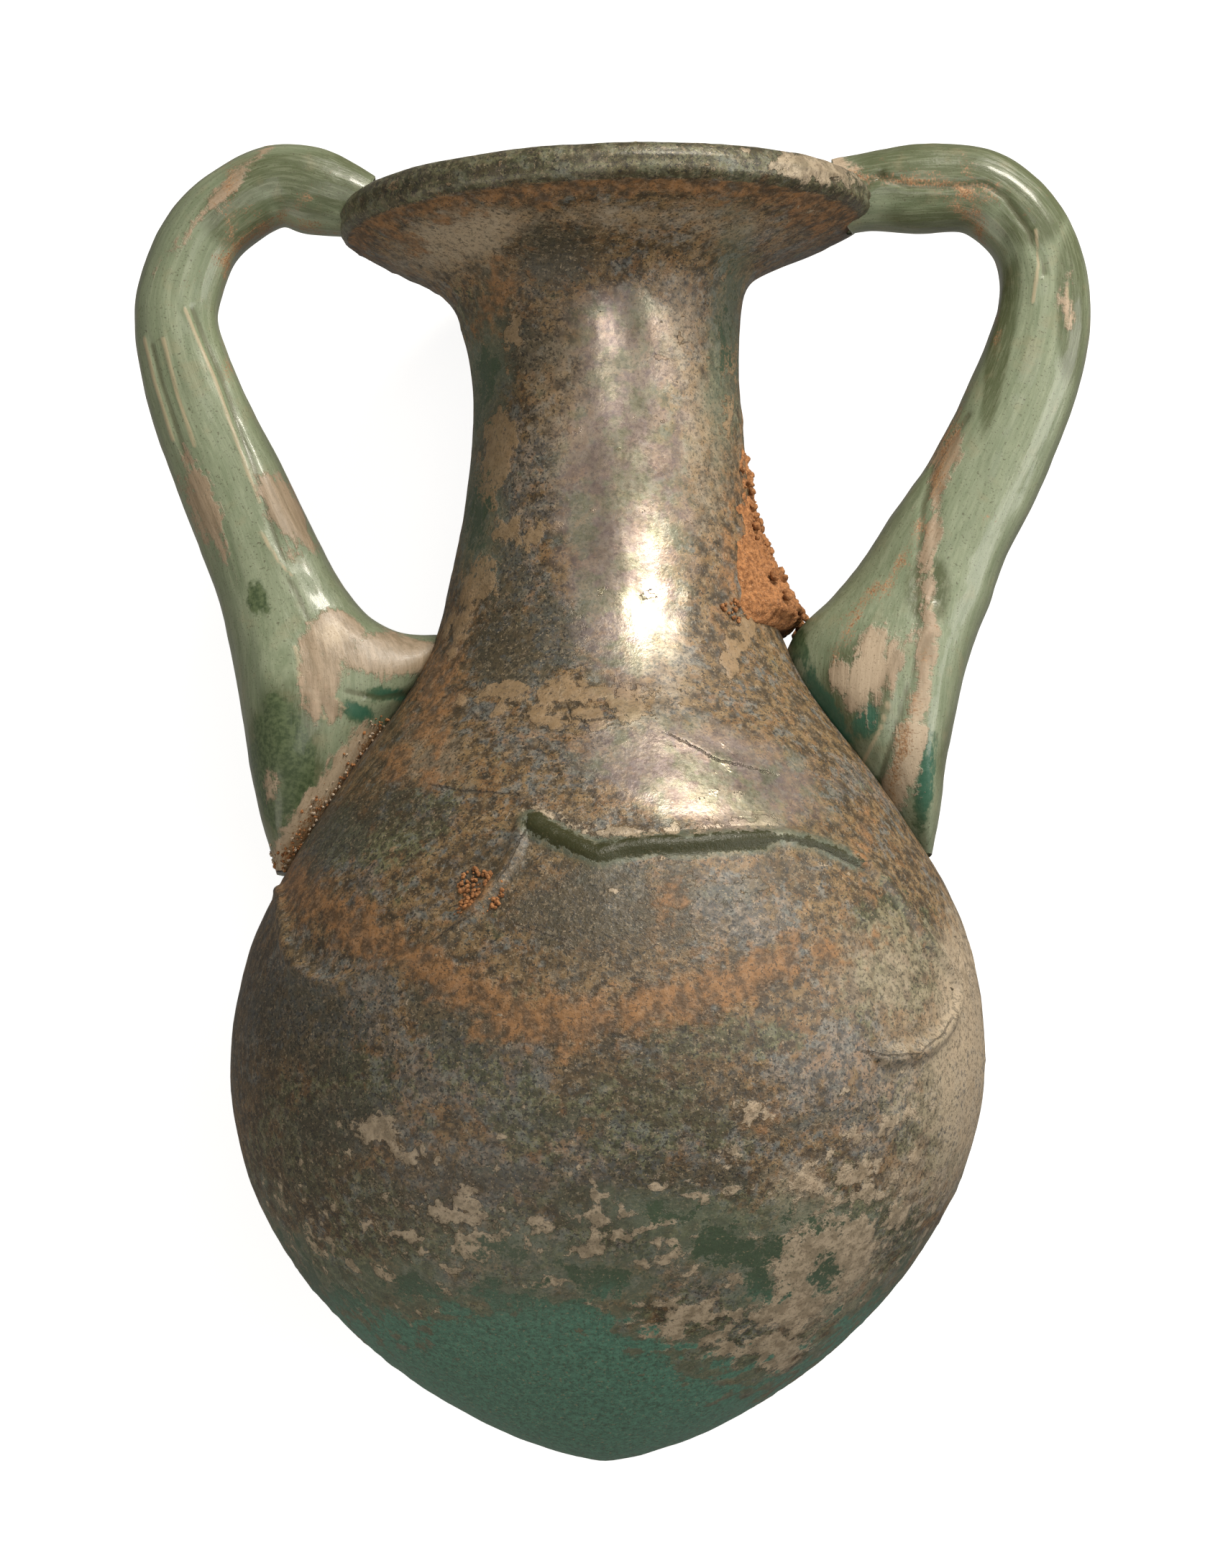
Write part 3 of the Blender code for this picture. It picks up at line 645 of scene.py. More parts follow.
def film_finish(name, low_glass, high_glass, rough, ior, dusty):
    """Iridescent weathering film over dark glass, with tan flakes, earth and bare places.

    The glass has one colour low on the front and one higher up, and rough, ior and dusty are its
    roughness, its refraction and how much dust lies on it.
    """
    finish = Finish(name)
    blotch, patch, cloud = finish.three_grains(0.30, 4.0, 0.60)
    mottle, stain, haze = finish.three_grains(0.85, 4.0, 0.62)
    speck, dust, grit = finish.three_grains(2.0, 4.0, 0.68)
    pepper, salt, fleck = finish.three_grains(3.4, 2.0, 0.60)
    streak = finish.grain(1.0, 5.0, 0.62, stretch=(0.40, 1.5, 1.0))
    ragged = (speck - 0.5) * 10 + (mottle - 0.5) * 18

    bare = (finish.painted("bare") + ragged * 1.1 + (pepper - 0.5) * 5).rise(-1.8, 1.8)
    flake = (finish.painted("flake") + ragged * 0.9).rise(-0.7, 0.7)
    earth = (finish.painted("earth") + ragged * 1.1 + (streak - 0.5) * 16).rise(-5.0, 6.0)
    worn = (finish.painted("worn") + ragged * 1.2).rise(-1.2, 1.2)
    olive = (finish.painted("olive") + (patch - 0.5) * 6 + (mottle - 0.5) * 6).rise(-0.5, 0.5)
    cool = (finish.painted("cool") + (cloud - 0.5) * 6 + (stain - 0.5) * 6).rise(-0.6, 0.6)
    tone_and_painted_light = finish.painted("tone_and_painted_light") + (stain - 0.5) * 1.8
    gloss_and_sheen = finish.painted("gloss_and_sheen")
    silky = finish.painted("silky")
    aside = finish.painted("crack_and_shadow_line") + (speck - 0.5) * 9
    reach = finish.painted("crack_and_shadow_line_reach")
    crack_and_shadow_line = (1 - aside.size().rise(0.3, 2.2)) * reach
    lip = aside.rise(-1.5, 1.5) * (1 - aside.size().rise(3.0, 16.0)) * reach

    brown = finish.mix(mottle.rise(0.40, 0.60), (0.038, 0.024, 0.010), (0.165, 0.106, 0.048))
    bloom = finish.mix(haze.rise(0.42, 0.58), (0.062, 0.055, 0.045), (0.188, 0.152, 0.120))
    moss = finish.mix(stain.rise(0.42, 0.58), (0.026, 0.033, 0.014), (0.108, 0.114, 0.058))
    rusty = (blotch * 0.4 + haze * 0.6).rise(0.52, 0.57)
    ashy = (cloud * 0.3 + stain * 0.7).rise(0.53, 0.58)
    peppery = pepper.rise(0.56, 0.62) * (0.85 - tone_and_painted_light.rise(0.2, 1.8) * 0.45)
    verge = finish.painted("bare").rise(-14.0, 0.0)
    film = finish.layers(brown, (
        (cool * 0.80, bloom),
        (olive * 0.85, moss),
        (rusty * 0.48 * (1 - olive * 0.8), (0.180, 0.094, 0.036)),
        (ashy * (0.25 + cool * 0.35), (0.108, 0.118, 0.108)),
        (worn * 0.66, (0.040, 0.041, 0.028)),
        # Paler and darker film by tone, partly the film's own tone and partly painted highlights, painted
        # light on the right flank and painted shade.
        (tone_and_painted_light.rise(0.0, 2.0) * 0.85, (0.320, 0.258, 0.182)),
        ((0 - tone_and_painted_light).rise(0.0, 1.3) * 0.66, (0.036, 0.027, 0.013)),
        ((1 - speck.rise(0.38, 0.48)) * 0.60, (0.026, 0.022, 0.014)),
        (dust.rise(0.54, 0.62) * 0.30, (0.270, 0.215, 0.145)),
        (grit.rise(0.52, 0.58) * cool * 0.62, (0.044, 0.048, 0.052)),
        (peppery, (0.013, 0.012, 0.009)),
        (salt.rise(0.63, 0.71) * 0.50, (0.330, 0.255, 0.165)),
        (verge * 0.62, (0.090, 0.112, 0.076)),
    ))
    clay = finish.mix(mottle.rise(0.40, 0.60), (0.070, 0.037, 0.014), (0.195, 0.094, 0.033))
    clay = finish.layers(clay, (
        (dust.rise(0.48, 0.60) * 0.35, (0.260, 0.160, 0.088)),
        (pepper.rise(0.55, 0.62) * 0.7, (0.035, 0.022, 0.010)),
    ))
    chip = finish.mix(stain.rise(0.40, 0.60), (0.190, 0.148, 0.097), (0.325, 0.258, 0.180))
    chip = finish.layers(chip, (
        (finish.painted("brown").rise(-0.2, 0.2) * 0.72, (0.180, 0.112, 0.050)),
        (pepper.rise(0.56, 0.62) * 0.5, (0.075, 0.055, 0.035)),
    ))
    # A pale pearly colour mixed in where the film shines: a painted sheen.
    painted_pearl_sheen = finish.mix(cloud.rise(0.44, 0.56), (0.480, 0.380, 0.370), (0.430, 0.435, 0.310))
    painted_pearl_sheen = finish.mix(haze.rise(0.42, 0.58) * 0.5, painted_pearl_sheen, (0.560, 0.500, 0.420))
    film = finish.layers(film, (
        (earth * 0.86, clay),
        (flake * 0.84, chip),
        (gloss_and_sheen.rise(0.35, 1.0) * 0.38 * (1 - earth), painted_pearl_sheen),
        # Dark lines along the cracks, and along the buried thread where they are partly painted shadow
        # under its ridge.
        (crack_and_shadow_line * 0.62, (0.022, 0.016, 0.009)),
    ))

    height = flake * 0.6 - bare * 0.5 - worn * 0.3 + earth * 0.3 + lip * 0.4 - crack_and_shadow_line * 0.6
    height = height + (mottle * 0.9 + speck * 0.45 + fleck * 0.15) * (1.1 - silky)
    dented = finish.bump(height, 0.00015)
    coated = finish.surface({
        "Base Color": film, "Roughness": 0.58 - gloss_and_sheen * 0.32 + (grit - 0.5) * 0.30 + earth * 0.12,
        "Metallic": gloss_and_sheen * gloss_and_sheen * 0.80 * (1 - earth), "IOR": 1.5, "Specular IOR Level": 0.46,
        "Normal": dented,
    })
    darker = tuple(channel * 0.75 for channel in low_glass)
    lighter = tuple(channel * 1.45 for channel in low_glass)
    glass = finish.mix(speck.rise(0.3, 0.7), darker, lighter)
    glass = finish.layers(glass, (
        (finish.painted("high_glass"), high_glass),
        (pepper.rise(0.56, 0.62) * 0.6 * dusty, (0.030, 0.045, 0.026)),
        (salt.rise(0.62, 0.70) * 0.6 * dusty, (0.230, 0.180, 0.110)),
    ))
    clean = finish.surface({
        "Base Color": glass, "Roughness": rough + speck * 0.20, "IOR": ior,
        "Transmission Weight": 0.10, "Normal": finish.bump(speck + fleck * 0.3, 0.00010),
    })
    return finish.done(finish.both(bare, coated, clean))


def handle_finish():
    """Sage glass with fine drawn streaks, deep green where it is clean, tan film on top."""
    finish = Finish("handle_glass")
    lay = finish.make("ShaderNodeAttribute", {"attribute_name": "lay"}, {}, "Vector")
    finish.place = finish.make("ShaderNodeVectorMath", {"operation": "SCALE"},
                               {"Vector": lay, "Scale": 1 / MM})
    drawn = finish.grain(1.0, 5.0, 0.66, stretch=(1.5, 1.5, 0.10))
    fine = finish.grain(1.0, 3.0, 0.66, stretch=(4.6, 4.6, 0.34), shift=7.0)
    blotch, patch, cloud = finish.three_grains(0.35, 4.0, 0.6)
    speck, dust, grit = finish.three_grains(2.4, 4.0, 0.66)
    fleck, pepper, _ = finish.three_grains(5.5, 2.0, 0.6)
    ragged = (speck - 0.5) * 8 + (blotch - 0.5) * 14 + (drawn - 0.5) * 10
    dirt = (finish.painted("dirt") + ragged).rise(-1.5, 1.5)
    deep = (finish.painted("deep") + ragged * 0.6).rise(-1.2, 1.2)
    rust = (finish.painted("rust") + ragged * 0.7 + (pepper - 0.5) * 12).rise(-2.0, 2.5)
    shade = finish.painted("shade") + (patch - 0.5) * 0.8
    rib_light_and_crease_shade = finish.painted("rib_light_and_crease_shade") + (fine - 0.5) * 0.3

    sage = finish.mix(drawn.rise(0.20, 0.80), (0.148, 0.183, 0.110), (0.235, 0.268, 0.182))
    sage = finish.layers(sage, (
        (shade.rise(0.0, 1.2) * 0.86, (0.066, 0.080, 0.034)),
        # Painted shade along the outline, where the handle turns away from the camera.
        (finish.painted("edge") * 0.45, (0.092, 0.100, 0.038)),
        (fine.rise(0.46, 0.64) * 0.18, (0.360, 0.390, 0.270)),
        (finish.painted("streak").rise(0.2, 1.0) * 0.35, (0.105, 0.140, 0.075)),
        (cloud.rise(0.54, 0.70) * 0.25, (0.270, 0.225, 0.135)),
        (pepper.rise(0.60, 0.68) * 0.70, (0.060, 0.055, 0.030)),
    ))
    green = finish.mix(dust.rise(0.35, 0.65), (0.040, 0.062, 0.026), (0.095, 0.125, 0.060))
    green = finish.mix(finish.painted("teal") * 0.85, green, (0.026, 0.105, 0.068))
    colour = finish.layers(sage, (
        (deep, green),
        # Pale rib crests, partly tan film and partly a painted highlight, and dark creases, partly
        # painted shade.
        (rib_light_and_crease_shade.rise(0.25, 0.9) * 0.62, (0.430, 0.335, 0.220)),
        ((0 - rib_light_and_crease_shade).rise(0.25, 0.9) * 0.55, (0.060, 0.056, 0.024)),
    ))
    height = drawn * 0.40 + fine * 0.14 + speck * 0.16 + dirt * 0.30
    dented = finish.bump(height, 0.00014)
    glass = finish.surface({
        "Base Color": colour, "Roughness": 0.26 + grit * 0.20, "IOR": 1.5, "Specular IOR Level": 0.30,
        "Transmission Weight": 0.20, "Coat Weight": 0.22, "Coat Roughness": 0.10, "Normal": dented,
    })
    tan = finish.mix(drawn.rise(0.36, 0.64), (0.180, 0.125, 0.078), (0.275, 0.198, 0.135))
    tan = finish.layers(tan, (
        ((finish.painted("pale") + (drawn - 0.5) * 8).rise(-4.0, 5.0) * 0.8, (0.430, 0.335, 0.240)),
        (pepper.rise(0.58, 0.68) * 0.6, (0.150, 0.105, 0.055)),
    ))
    clay = finish.mix(fleck.rise(0.35, 0.68), (0.150, 0.062, 0.020), (0.360, 0.210, 0.105))
    crust = finish.surface({
        "Base Color": finish.mix(rust, tan, clay), "Roughness": 0.34 + grit * 0.35,
        "IOR": 1.5, "Normal": dented,
    })
    return finish.done(finish.both((dirt * 0.85).either(rust * 0.9), glass, crust))


def earth_finish(name, dark, light, glint):
    """Dry earth in crumbs."""
    finish = Finish(name)
    speck = finish.grain(2.4, 5.0, 0.7)
    fleck = finish.grain(7.0, 3.0, 0.6)
    colour = finish.mix(speck.rise(0.30, 0.68), dark, light)
    colour = finish.mix(fleck.rise(0.58, 0.74) * 0.6, colour, glint)
    rough = finish.bump(speck * 0.8 + fleck * 0.4, 0.0003)
    return finish.done(finish.surface(
        {"Base Color": colour, "Roughness": 0.92, "IOR": 1.4, "Normal": rough}))


def finished_mesh(name, shape):
    """Turns a bmesh into a smooth-shaded mesh."""
    mesh = bpy.data.meshes.new(name)
    shape.to_mesh(mesh)
    shape.free()
    mesh.shade_smooth()
    return mesh


def put_in_scene(name, data):
    """Makes an object of a mesh, a lamp or a camera."""
    thing = bpy.data.objects.new(name, data)
    bpy.context.scene.collection.objects.link(thing)
    return thing


def add_piece(name, mesh, material, slot, *nodes):
    """Puts a finished mesh in the scene, in place of CAD nodes if any are given."""
    piece = put_in_scene(name, mesh)
    mesh.materials.append(material)
    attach(piece, "root")
    if nodes:
        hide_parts(*nodes)


def next_row(shape, row, closed):
    """Extrudes a row of vertices, in a ring if closed, and returns the new row."""
    pairs = zip(row, row[1:] + row[:int(closed)])
    edges = [shape.edges.get(pair) for pair in pairs]
    made = bmesh.ops.extrude_edge_only(shape, edges=edges)["geom"]
    fresh = {item for item in made if isinstance(item, bmesh.types.BMVert)}
    return [next(edge.other_vert(vert) for edge in vert.link_edges if edge.other_vert(vert) in fresh)
            for vert in row]


def turned_vessel():
    """The vessel's fine shell, with more of its facets on the front."""
    outline = outside_points() + rim_points() + inside_points()
    shape = bmesh.new()
    verts = [shape.verts.new((0.0, height, radius)) for radius, height in outline]
    edges = [shape.edges.new(pair) for pair in zip(verts, verts[1:])]
    bmesh.ops.spin(
        shape, geom=verts + edges, cent=(0, 0, 0), axis=(0, 1, 0), dvec=(0, 0, 0),
        angle=math.tau, steps=VESSEL_TURNS, use_merge=True, use_duplicate=False,
    )
    bmesh.ops.remove_doubles(shape, verts=shape.verts, dist=1e-7)
    for vert in shape.verts:
        radius = math.hypot(vert.co.x, vert.co.z)
        angle = math.atan2(vert.co.x, vert.co.z)
        angle -= FRONT_CROWDING * math.sin(angle)
        place = Vector((radius * math.sin(angle), vert.co.y, radius * math.cos(angle)))
        vert.co = LAID @ hand_blown(place)
    bmesh.ops.recalc_face_normals(shape, faces=shape.faces)
    return finished_mesh("glass_vessel", shape)


# Where the film's patches show on the front, as (x, y, half width, half height, turn): bare glass,
# film worn thin, greenish film, pale and brown flakes, caked earth, blue-grey and warmer film,
# paler film with painted highlights on the neck and shoulder and painted light down the right
# flank, darker film with painted shade on the left edge and under the funnel, and where it shines
# (with a painted pearly sheen) or is smooth as silk.
BARE_SPOTS = (
    (672, 530, 13, 44, 6), (664, 716, 12, 34, 4), (1010, 470, 5, 30, 4), (545, 1840, 60, 10, 30),
    (1015, 1735, 66, 24, 8), (828, 1778, 46, 16, 0), (575, 1790, 34, 18, 20),
    (1134, 1696, 24, 9, 0), (1062, 1788, 26, 20, -10), (700, 1735, 30, 12, 0),
    (940, 1690, 40, 9, 6), (1150, 1770, 12, 22, 20),
)
WORN_SPOTS = (
    (720, 905, 66, 62, 0), (762, 880, 46, 52, 0), (690, 935, 38, 34, 20), (700, 800, 40, 60, 0),
    (730, 480, 40, 36, 20), (545, 1108, 36, 14, -30), (610, 1060, 20, 14, 0),
    (600, 1400, 50, 34, 30), (430, 1430, 90, 60, 40), (700, 1640, 50, 20, 0),
    (800, 1560, 70, 16, 0), (474, 1158, 46, 40, -50), (440, 1205, 34, 16, -50),
    (940, 1240, 30, 60, 0), (850, 1230, 60, 40, 0), (1010, 1240, 40, 16, 0), (770, 350, 60, 40, 0),
    (820, 1270, 90, 40, 0), (650, 1430, 60, 50, 20), (1000, 1640, 60, 16, 0),
    (1130, 1560, 90, 14, -8), (880, 1690, 90, 20, 0), (1150, 1690, 46, 18, -10),
    (480, 1560, 60, 50, 0),
)
OLIVE_SPOTS = (
    (640, 1480, 90, 60, 20), (500, 1500, 90, 60, 20), (850, 1560, 260, 90, 0),
    (900, 1700, 300, 90, 0), (560, 1700, 150, 90, 20), (1180, 1720, 140, 110, -30),
    (740, 1390, 60, 30, 0), (474, 1158, 60, 46, -50), (1000, 1440, 130, 40, 0),
    (850, 220, 400, 30, 0), (1240, 1330, 90, 120, 0), (640, 560, 30, 160, 0),
    (1010, 520, 30, 110, 0), (560, 1150, 90, 60, -30), (420, 1600, 80, 120, 10),
    (1290, 1560, 70, 130, 0), (700, 1815, 260, 60, 0), (980, 1870, 300, 110, 0),
    (1150, 1840, 90, 80, -40), (480, 1780, 120, 60, 40),
)
FLAKE_SPOTS = (
    (1122, 1640, 17, 26, 20), (1146, 1600, 14, 12, 0), (1142, 1652, 12, 16, 0),
    (1196, 1632, 26, 14, -35), (1236, 1567, 15, 12, 0), (1186, 1578, 12, 7, 0),
    (1262, 1545, 9, 7, 0), (1140, 1750, 88, 56, -35), (1110, 1806, 50, 40, -20),
    (1085, 1880, 34, 30, 0), (1060, 1830, 40, 16, 0), (1170, 1720, 34, 16, -25),
    (528, 1572, 30, 22, 10), (575, 1612, 24, 9, 20), (640, 1668, 16, 8, 0), (1050, 1545, 24, 18, 0),
    (1345, 1330, 8, 50, 8), (920, 1850, 34, 9, 10), (670, 1730, 44, 22, 0), (960, 1830, 40, 18, 8),
    (1000, 1870, 30, 12, 0), (1240, 1700, 20, 10, -30), (1275, 1610, 12, 12, 0),
    (745, 1700, 26, 8, 0), (1010, 1605, 20, 7, 0), (830, 1740, 14, 6, 0), (1137, 232, 56, 24, 8),
    (620, 1690, 26, 14, 10), (860, 1720, 20, 8, 0), (1200, 1660, 30, 12, -20),
)
BROWN_FLAKES = (
    (692, 622, 24, 58, 6), (676, 690, 16, 22, 0), (664, 818, 22, 40, 15), (640, 870, 18, 36, 20),
    (705, 962, 46, 14, -12), (770, 1000, 50, 14, 4), (828, 992, 40, 16, -8), (800, 962, 54, 20, 0),
    (870, 980, 46, 22, -12), (1020, 905, 12, 34, 8), (1036, 872, 9, 16, 0), (690, 590, 14, 30, 10),
    (700, 740, 20, 14, 0), (735, 742, 26, 12, 0), (1012, 505, 8, 60, 0), (712, 460, 10, 30, 0),
)
EARTH_BAND = ((403, 1232), (469, 1275), (567, 1330), (676, 1384), (763, 1417), (850, 1417),
              (959, 1384), (1046, 1352), (1090, 1341))
EARTH_SEAM = ((600, 1075), (612, 1000), (634, 900), (660, 830))
EARTH_SPOTS = (
    (740, 1430, 74, 30, 10), (760, 1400, 60, 24, 0), (410, 1250, 38, 24, 30),
    (665, 1245, 30, 20, -30), (500, 1290, 60, 20, 30), (600, 960, 30, 90, 12),
    (560, 1060, 30, 26, -30), (1198, 1210, 9, 46, 6), (1060, 1545, 26, 30, 0),
    (1135, 1640, 14, 26, 10), (980, 1362, 60, 14, -14), (760, 272, 90, 9, -4),
    (980, 266, 110, 10, 10), (640, 296, 60, 8, -18), (690, 420, 22, 60, 20),
    (935, 1240, 20, 44, 10), (1015, 745, 12, 110, 4), (1150, 1330, 60, 20, -20),
    (1120, 300, 44, 16, 20), (560, 330, 30, 14, 30),
)
COOL_SPOTS = (
    (720, 700, 70, 150, 0), (840, 830, 90, 180, 0), (1030, 1280, 90, 60, 10),
    (900, 1050, 200, 60, 8), (470, 1410, 120, 90, 30), (640, 1500, 140, 70, 0),
    (1180, 1500, 150, 110, 0), (700, 1640, 140, 70, 0), (430, 1160, 60, 40, -40),
    (620, 1120, 60, 30, 0), (850, 1600, 160, 50, 0), (860, 520, 60, 160, 0),
    (720, 1770, 190, 50, 0), (950, 1770, 150, 60, 10),
)
WARM_SPOTS = (
    (860, 1320, 190, 110, 0), (720, 380, 120, 90, 0), (960, 1470, 130, 90, 0),
    (1250, 1340, 120, 130, 0), (640, 1080, 70, 60, 0), (1000, 600, 40, 160, 0),
    (420, 1560, 90, 130, 20), (1080, 1430, 90, 60, 0),
)
# Paler film; the spots on the neck, the neck's foot and the shoulder are painted highlights, and those
# down the right flank are painted light.
PALE_AND_HIGHLIGHT_SPOTS = (
    (860, 470, 56, 60, 0), (870, 740, 60, 210, 0), (920, 930, 60, 90, 0), (1000, 1120, 110, 40, 14),
    (1300, 1500, 110, 170, 0), (1230, 1350, 110, 90, 0), (980, 620, 50, 170, 0),
    (950, 1040, 120, 50, 10), (1110, 1660, 60, 60, 0), (1280, 1640, 80, 60, 0),
    (1330, 1450, 60, 220, 0), (1130, 1780, 110, 70, -30), (975, 1112, 120, 44, 14),
    (840, 560, 130, 180, 0), (880, 820, 50, 90, 0), (640, 310, 130, 60, -14),
    (1000, 300, 150, 50, 8), (1340, 1500, 50, 160, 0), (600, 1050, 50, 60, 0),
    (930, 480, 90, 120, 0), (860, 302, 130, 36, 0),
)
# Palest film, with painted light on the right edge.
PALEST_AND_LIT_SPOTS = ((1338, 1450, 46, 240, 0), (1140, 1770, 110, 80, -35), (640, 330, 110, 60, -14))
# Darker film; the spots on the left edge and under the funnel are painted shade.
DIM_AND_SHADED_SPOTS = (
    (350, 1450, 60, 190, 0), (420, 1620, 90, 120, 20), (800, 1260, 170, 70, 0),
    (880, 1480, 150, 70, 0), (690, 900, 50, 70, 0), (860, 1660, 180, 50, 0),
    (560, 1130, 110, 40, 0), (690, 1200, 90, 40, 0), (1090, 1210, 60, 30, 0),
    (1000, 1440, 80, 40, 0), (690, 560, 40, 120, 0), (790, 358, 90, 50, 0), (860, 1290, 200, 80, 0),
    (930, 1650, 100, 44, 0), (600, 1660, 130, 60, 0), (960, 1540, 110, 50, 0),
)
# Where the film shines: lower roughness, more metal, and a painted pearly sheen in its colour.
GLOSS_AND_SHEEN_SPOTS = (
    (870, 700, 120, 330, 0), (980, 1080, 210, 90, 14), (860, 460, 90, 80, 0),
)
SILKY_SPOTS = ((1240, 1400, 150, 260, 0), (1080, 1240, 90, 60, 0), (980, 960, 180, 120, 0))

# The glass shows below this ragged line.
BARE_LINE = ((300, 1640), (400, 1730), (500, 1820), (600, 1838), (676, 1790), (763, 1785),
             (806, 1808), (872, 1842), (937, 1886), (1000, 1895), (1060, 1930), (1120, 1890),
             (1180, 1830), (1300, 1740))

# Cracks and lifted edges of the film on the front, and dark lines along the buried thread that are
# partly painted shadow under its ridge; the side to the right of the way that a line runs stands proud.
CRACKS_AND_SHADOW_LINES = (
    ((1073, 1076), (1030, 1064), (998, 1058), (960, 1036), (934, 1023)),
    ((718, 1105), (680, 1102), (640, 1100), (607, 1094)),
    ((850, 999), (815, 1004), (795, 1000), (790, 986)),
    ((1190, 1204), (1150, 1184), (1120, 1172), (1092, 1168)),
    ((735, 1150), (722, 1170), (706, 1204), (690, 1224)),
    ((602, 1308), (630, 1288), (660, 1270)),
    ((1205, 1463), (1235, 1468), (1280, 1466)),
    ((1290, 1455), (1310, 1440), (1322, 1420)),
    ((728, 1290), (760, 1300), (786, 1308)),
)

# The length of the thread from which the film has come off, and the film's lip above it.
THREAD_SHOWS = ((740, 1143), (770, 1160), (826, 1186), (880, 1178), (960, 1175), (1062, 1166))
THREAD_FADES = ((1062, 1166), (1100, 1165), (1140, 1175), (1170, 1187), (1192, 1200))
THREAD_LIP = ((735, 1122), (790, 1144), (842, 1160), (950, 1154), (1075, 1146))


def zone(canvas, rows):
    """How much each place belongs to soft-edged zones, 0 to 1."""
    share = np.zeros(len(canvas.x))
    for x, y, width, height, turn in rows:
        inside = canvas.spot((x, y), (width, height), turn) / min(width, height)
        share = np.maximum(share, smooth(inside, ZONE_START, ZONE_FULL))
    return share


def paint_film(canvas):
    """Lays out the film, flakes, earth and bare glass, and returns the relief they make."""
    front = canvas.front
    coarse = canvas.grain(COARSE_GRAIN, 1)
    medium = canvas.grain(MEDIUM_GRAIN, 2)
    fine = canvas.grain(FINE_GRAIN, 3, 2)
    flat_streaks = canvas.grain(STREAK_GRAIN, 4, 3, STREAK_STRETCH)
    ragged = medium * 18 + fine * 8

    line_y = np.interp(canvas.x, *zip(*BARE_LINE))
    below = (canvas.y - line_y) * 0.55 + ragged * 1.2 + flat_streaks * 34 - 6
    bare_front = np.maximum(canvas.spots(BARE_SPOTS) + ragged * 0.8, below)
    bare = blend(below + coarse * 40, bare_front, front)
    canvas.keep_patch("bare", bare)

    lower = smooth(canvas.y, 1560, 1720) * (1 - smooth(canvas.y, 1880, 1960))
    brown = canvas.spots(BROWN_FLAKES) + ragged * 0.9
    pale = canvas.spots(FLAKE_SPOTS) + ragged * 0.7
    lip = THREAD_LIP_HALF - canvas.line(THREAD_LIP)
    scattered = flat_streaks * 26 + fine * 8 - 22 + lower * 15
    flake_front = np.maximum(np.maximum(brown, pale), np.maximum(scattered, lip))
    flake = blend(medium * 22 + coarse * 18 - 20, flake_front, front)
    canvas.keep_patch("flake", flake)
    canvas.keep("brown", np.clip((brown - np.maximum(pale, lip)) / 20, -1, 1))

    worn = blend(coarse * 30 + medium * 14 - 12, canvas.spots(WORN_SPOTS) + ragged, front)
    canvas.keep_patch("worn", worn)

    collar = smooth(canvas.up, FOLD_HEIGHT - 0.1 * MM, FOLD_HEIGHT + 0.4 * MM)
    crease = canvas.level(FOLD_HEIGHT - 0.4 * MM, 0.8 * MM)
    band = EARTH_BAND_HALF - canvas.line(EARTH_BAND)
    seam = EARTH_SEAM_HALF - canvas.line(EARTH_SEAM)
    earth_front = np.maximum(canvas.spots(EARTH_SPOTS), np.maximum(band, seam)) + ragged * 1.5
    earth_front = np.maximum(earth_front - collar * 40, crease * 74 - 54 + medium * 14)
    earth = blend(coarse * 34 + medium * 16 - 20, earth_front - 4, front)
    canvas.keep_patch("earth", earth)

    cool = zone(canvas, COOL_SPOTS) * 1.6 - zone(canvas, WARM_SPOTS) * 1.6 - 0.5 - collar
    canvas.keep("cool", cool * front + coarse * 1.2 + medium * 0.5)
    olive = zone(canvas, OLIVE_SPOTS) * 2.4 - 1.5 + collar * 2.4
    canvas.keep("olive", blend(-0.6, olive, front) + coarse * 0.9 + medium * 0.5)
    # The film's tone: paler film, painted highlights on the neck and shoulder and painted light down the
    # right flank lift it; darker film and painted shade on the left edge and under the funnel lower it.
    pale_and_lit_share = zone(canvas, PALE_AND_HIGHLIGHT_SPOTS) + zone(canvas, PALEST_AND_LIT_SPOTS)
    tone_and_painted_light = pale_and_lit_share - zone(canvas, DIM_AND_SHADED_SPOTS) - collar * 0.5
    # The tone also drops in the crease under the collar: a painted shadow under the fold, beside the rust
    # line of earth laid there.
    canvas.keep("tone_and_painted_light", tone_and_painted_light * front + medium * 0.35 + flat_streaks * 0.32 - crease * 1.1)
    gloss_and_sheen = np.maximum(zone(canvas, GLOSS_AND_SHEEN_SPOTS), collar * 0.34)
    canvas.keep("gloss_and_sheen", np.clip(blend(0.45, 0.16 + gloss_and_sheen * 0.84, front) + medium * 0.14, 0, 1))
    silky = np.maximum(zone(canvas, SILKY_SPOTS), gloss_and_sheen)
    canvas.keep("silky", blend(0.3, silky, front))
    canvas.keep("high_glass", (1 - smooth(canvas.y + medium * 14, 1770, 1850)) * front)
    aside, reach = canvas.beside(CRACKS_AND_SHADOW_LINES)
    canvas.keep("crack_and_shadow_line", aside)
    canvas.keep("crack_and_shadow_line_reach", reach)

    relief = (coarse * SWELL_HEIGHT + medium * LUMP_HEIGHT) * (1 - 0.6 * gloss_and_sheen) + fine * GRAIN_HEIGHT
    relief += smooth(flake, -2, 2) * FLAKE_HEIGHT - smooth(bare, -3, 3) * BARE_DEPTH
    relief += smooth(earth, -6, 10) * (EARTH_HEIGHT + EARTH_LUMPS * fine)
    relief += smooth(aside, -4, 4) * (1 - smooth(np.abs(aside), 5, 24)) * reach * CRACK_LIP
    return relief + canvas.ridge(THREAD_LIP, THREAD_RIDGE_HALF) * THREAD_LIP_HEIGHT


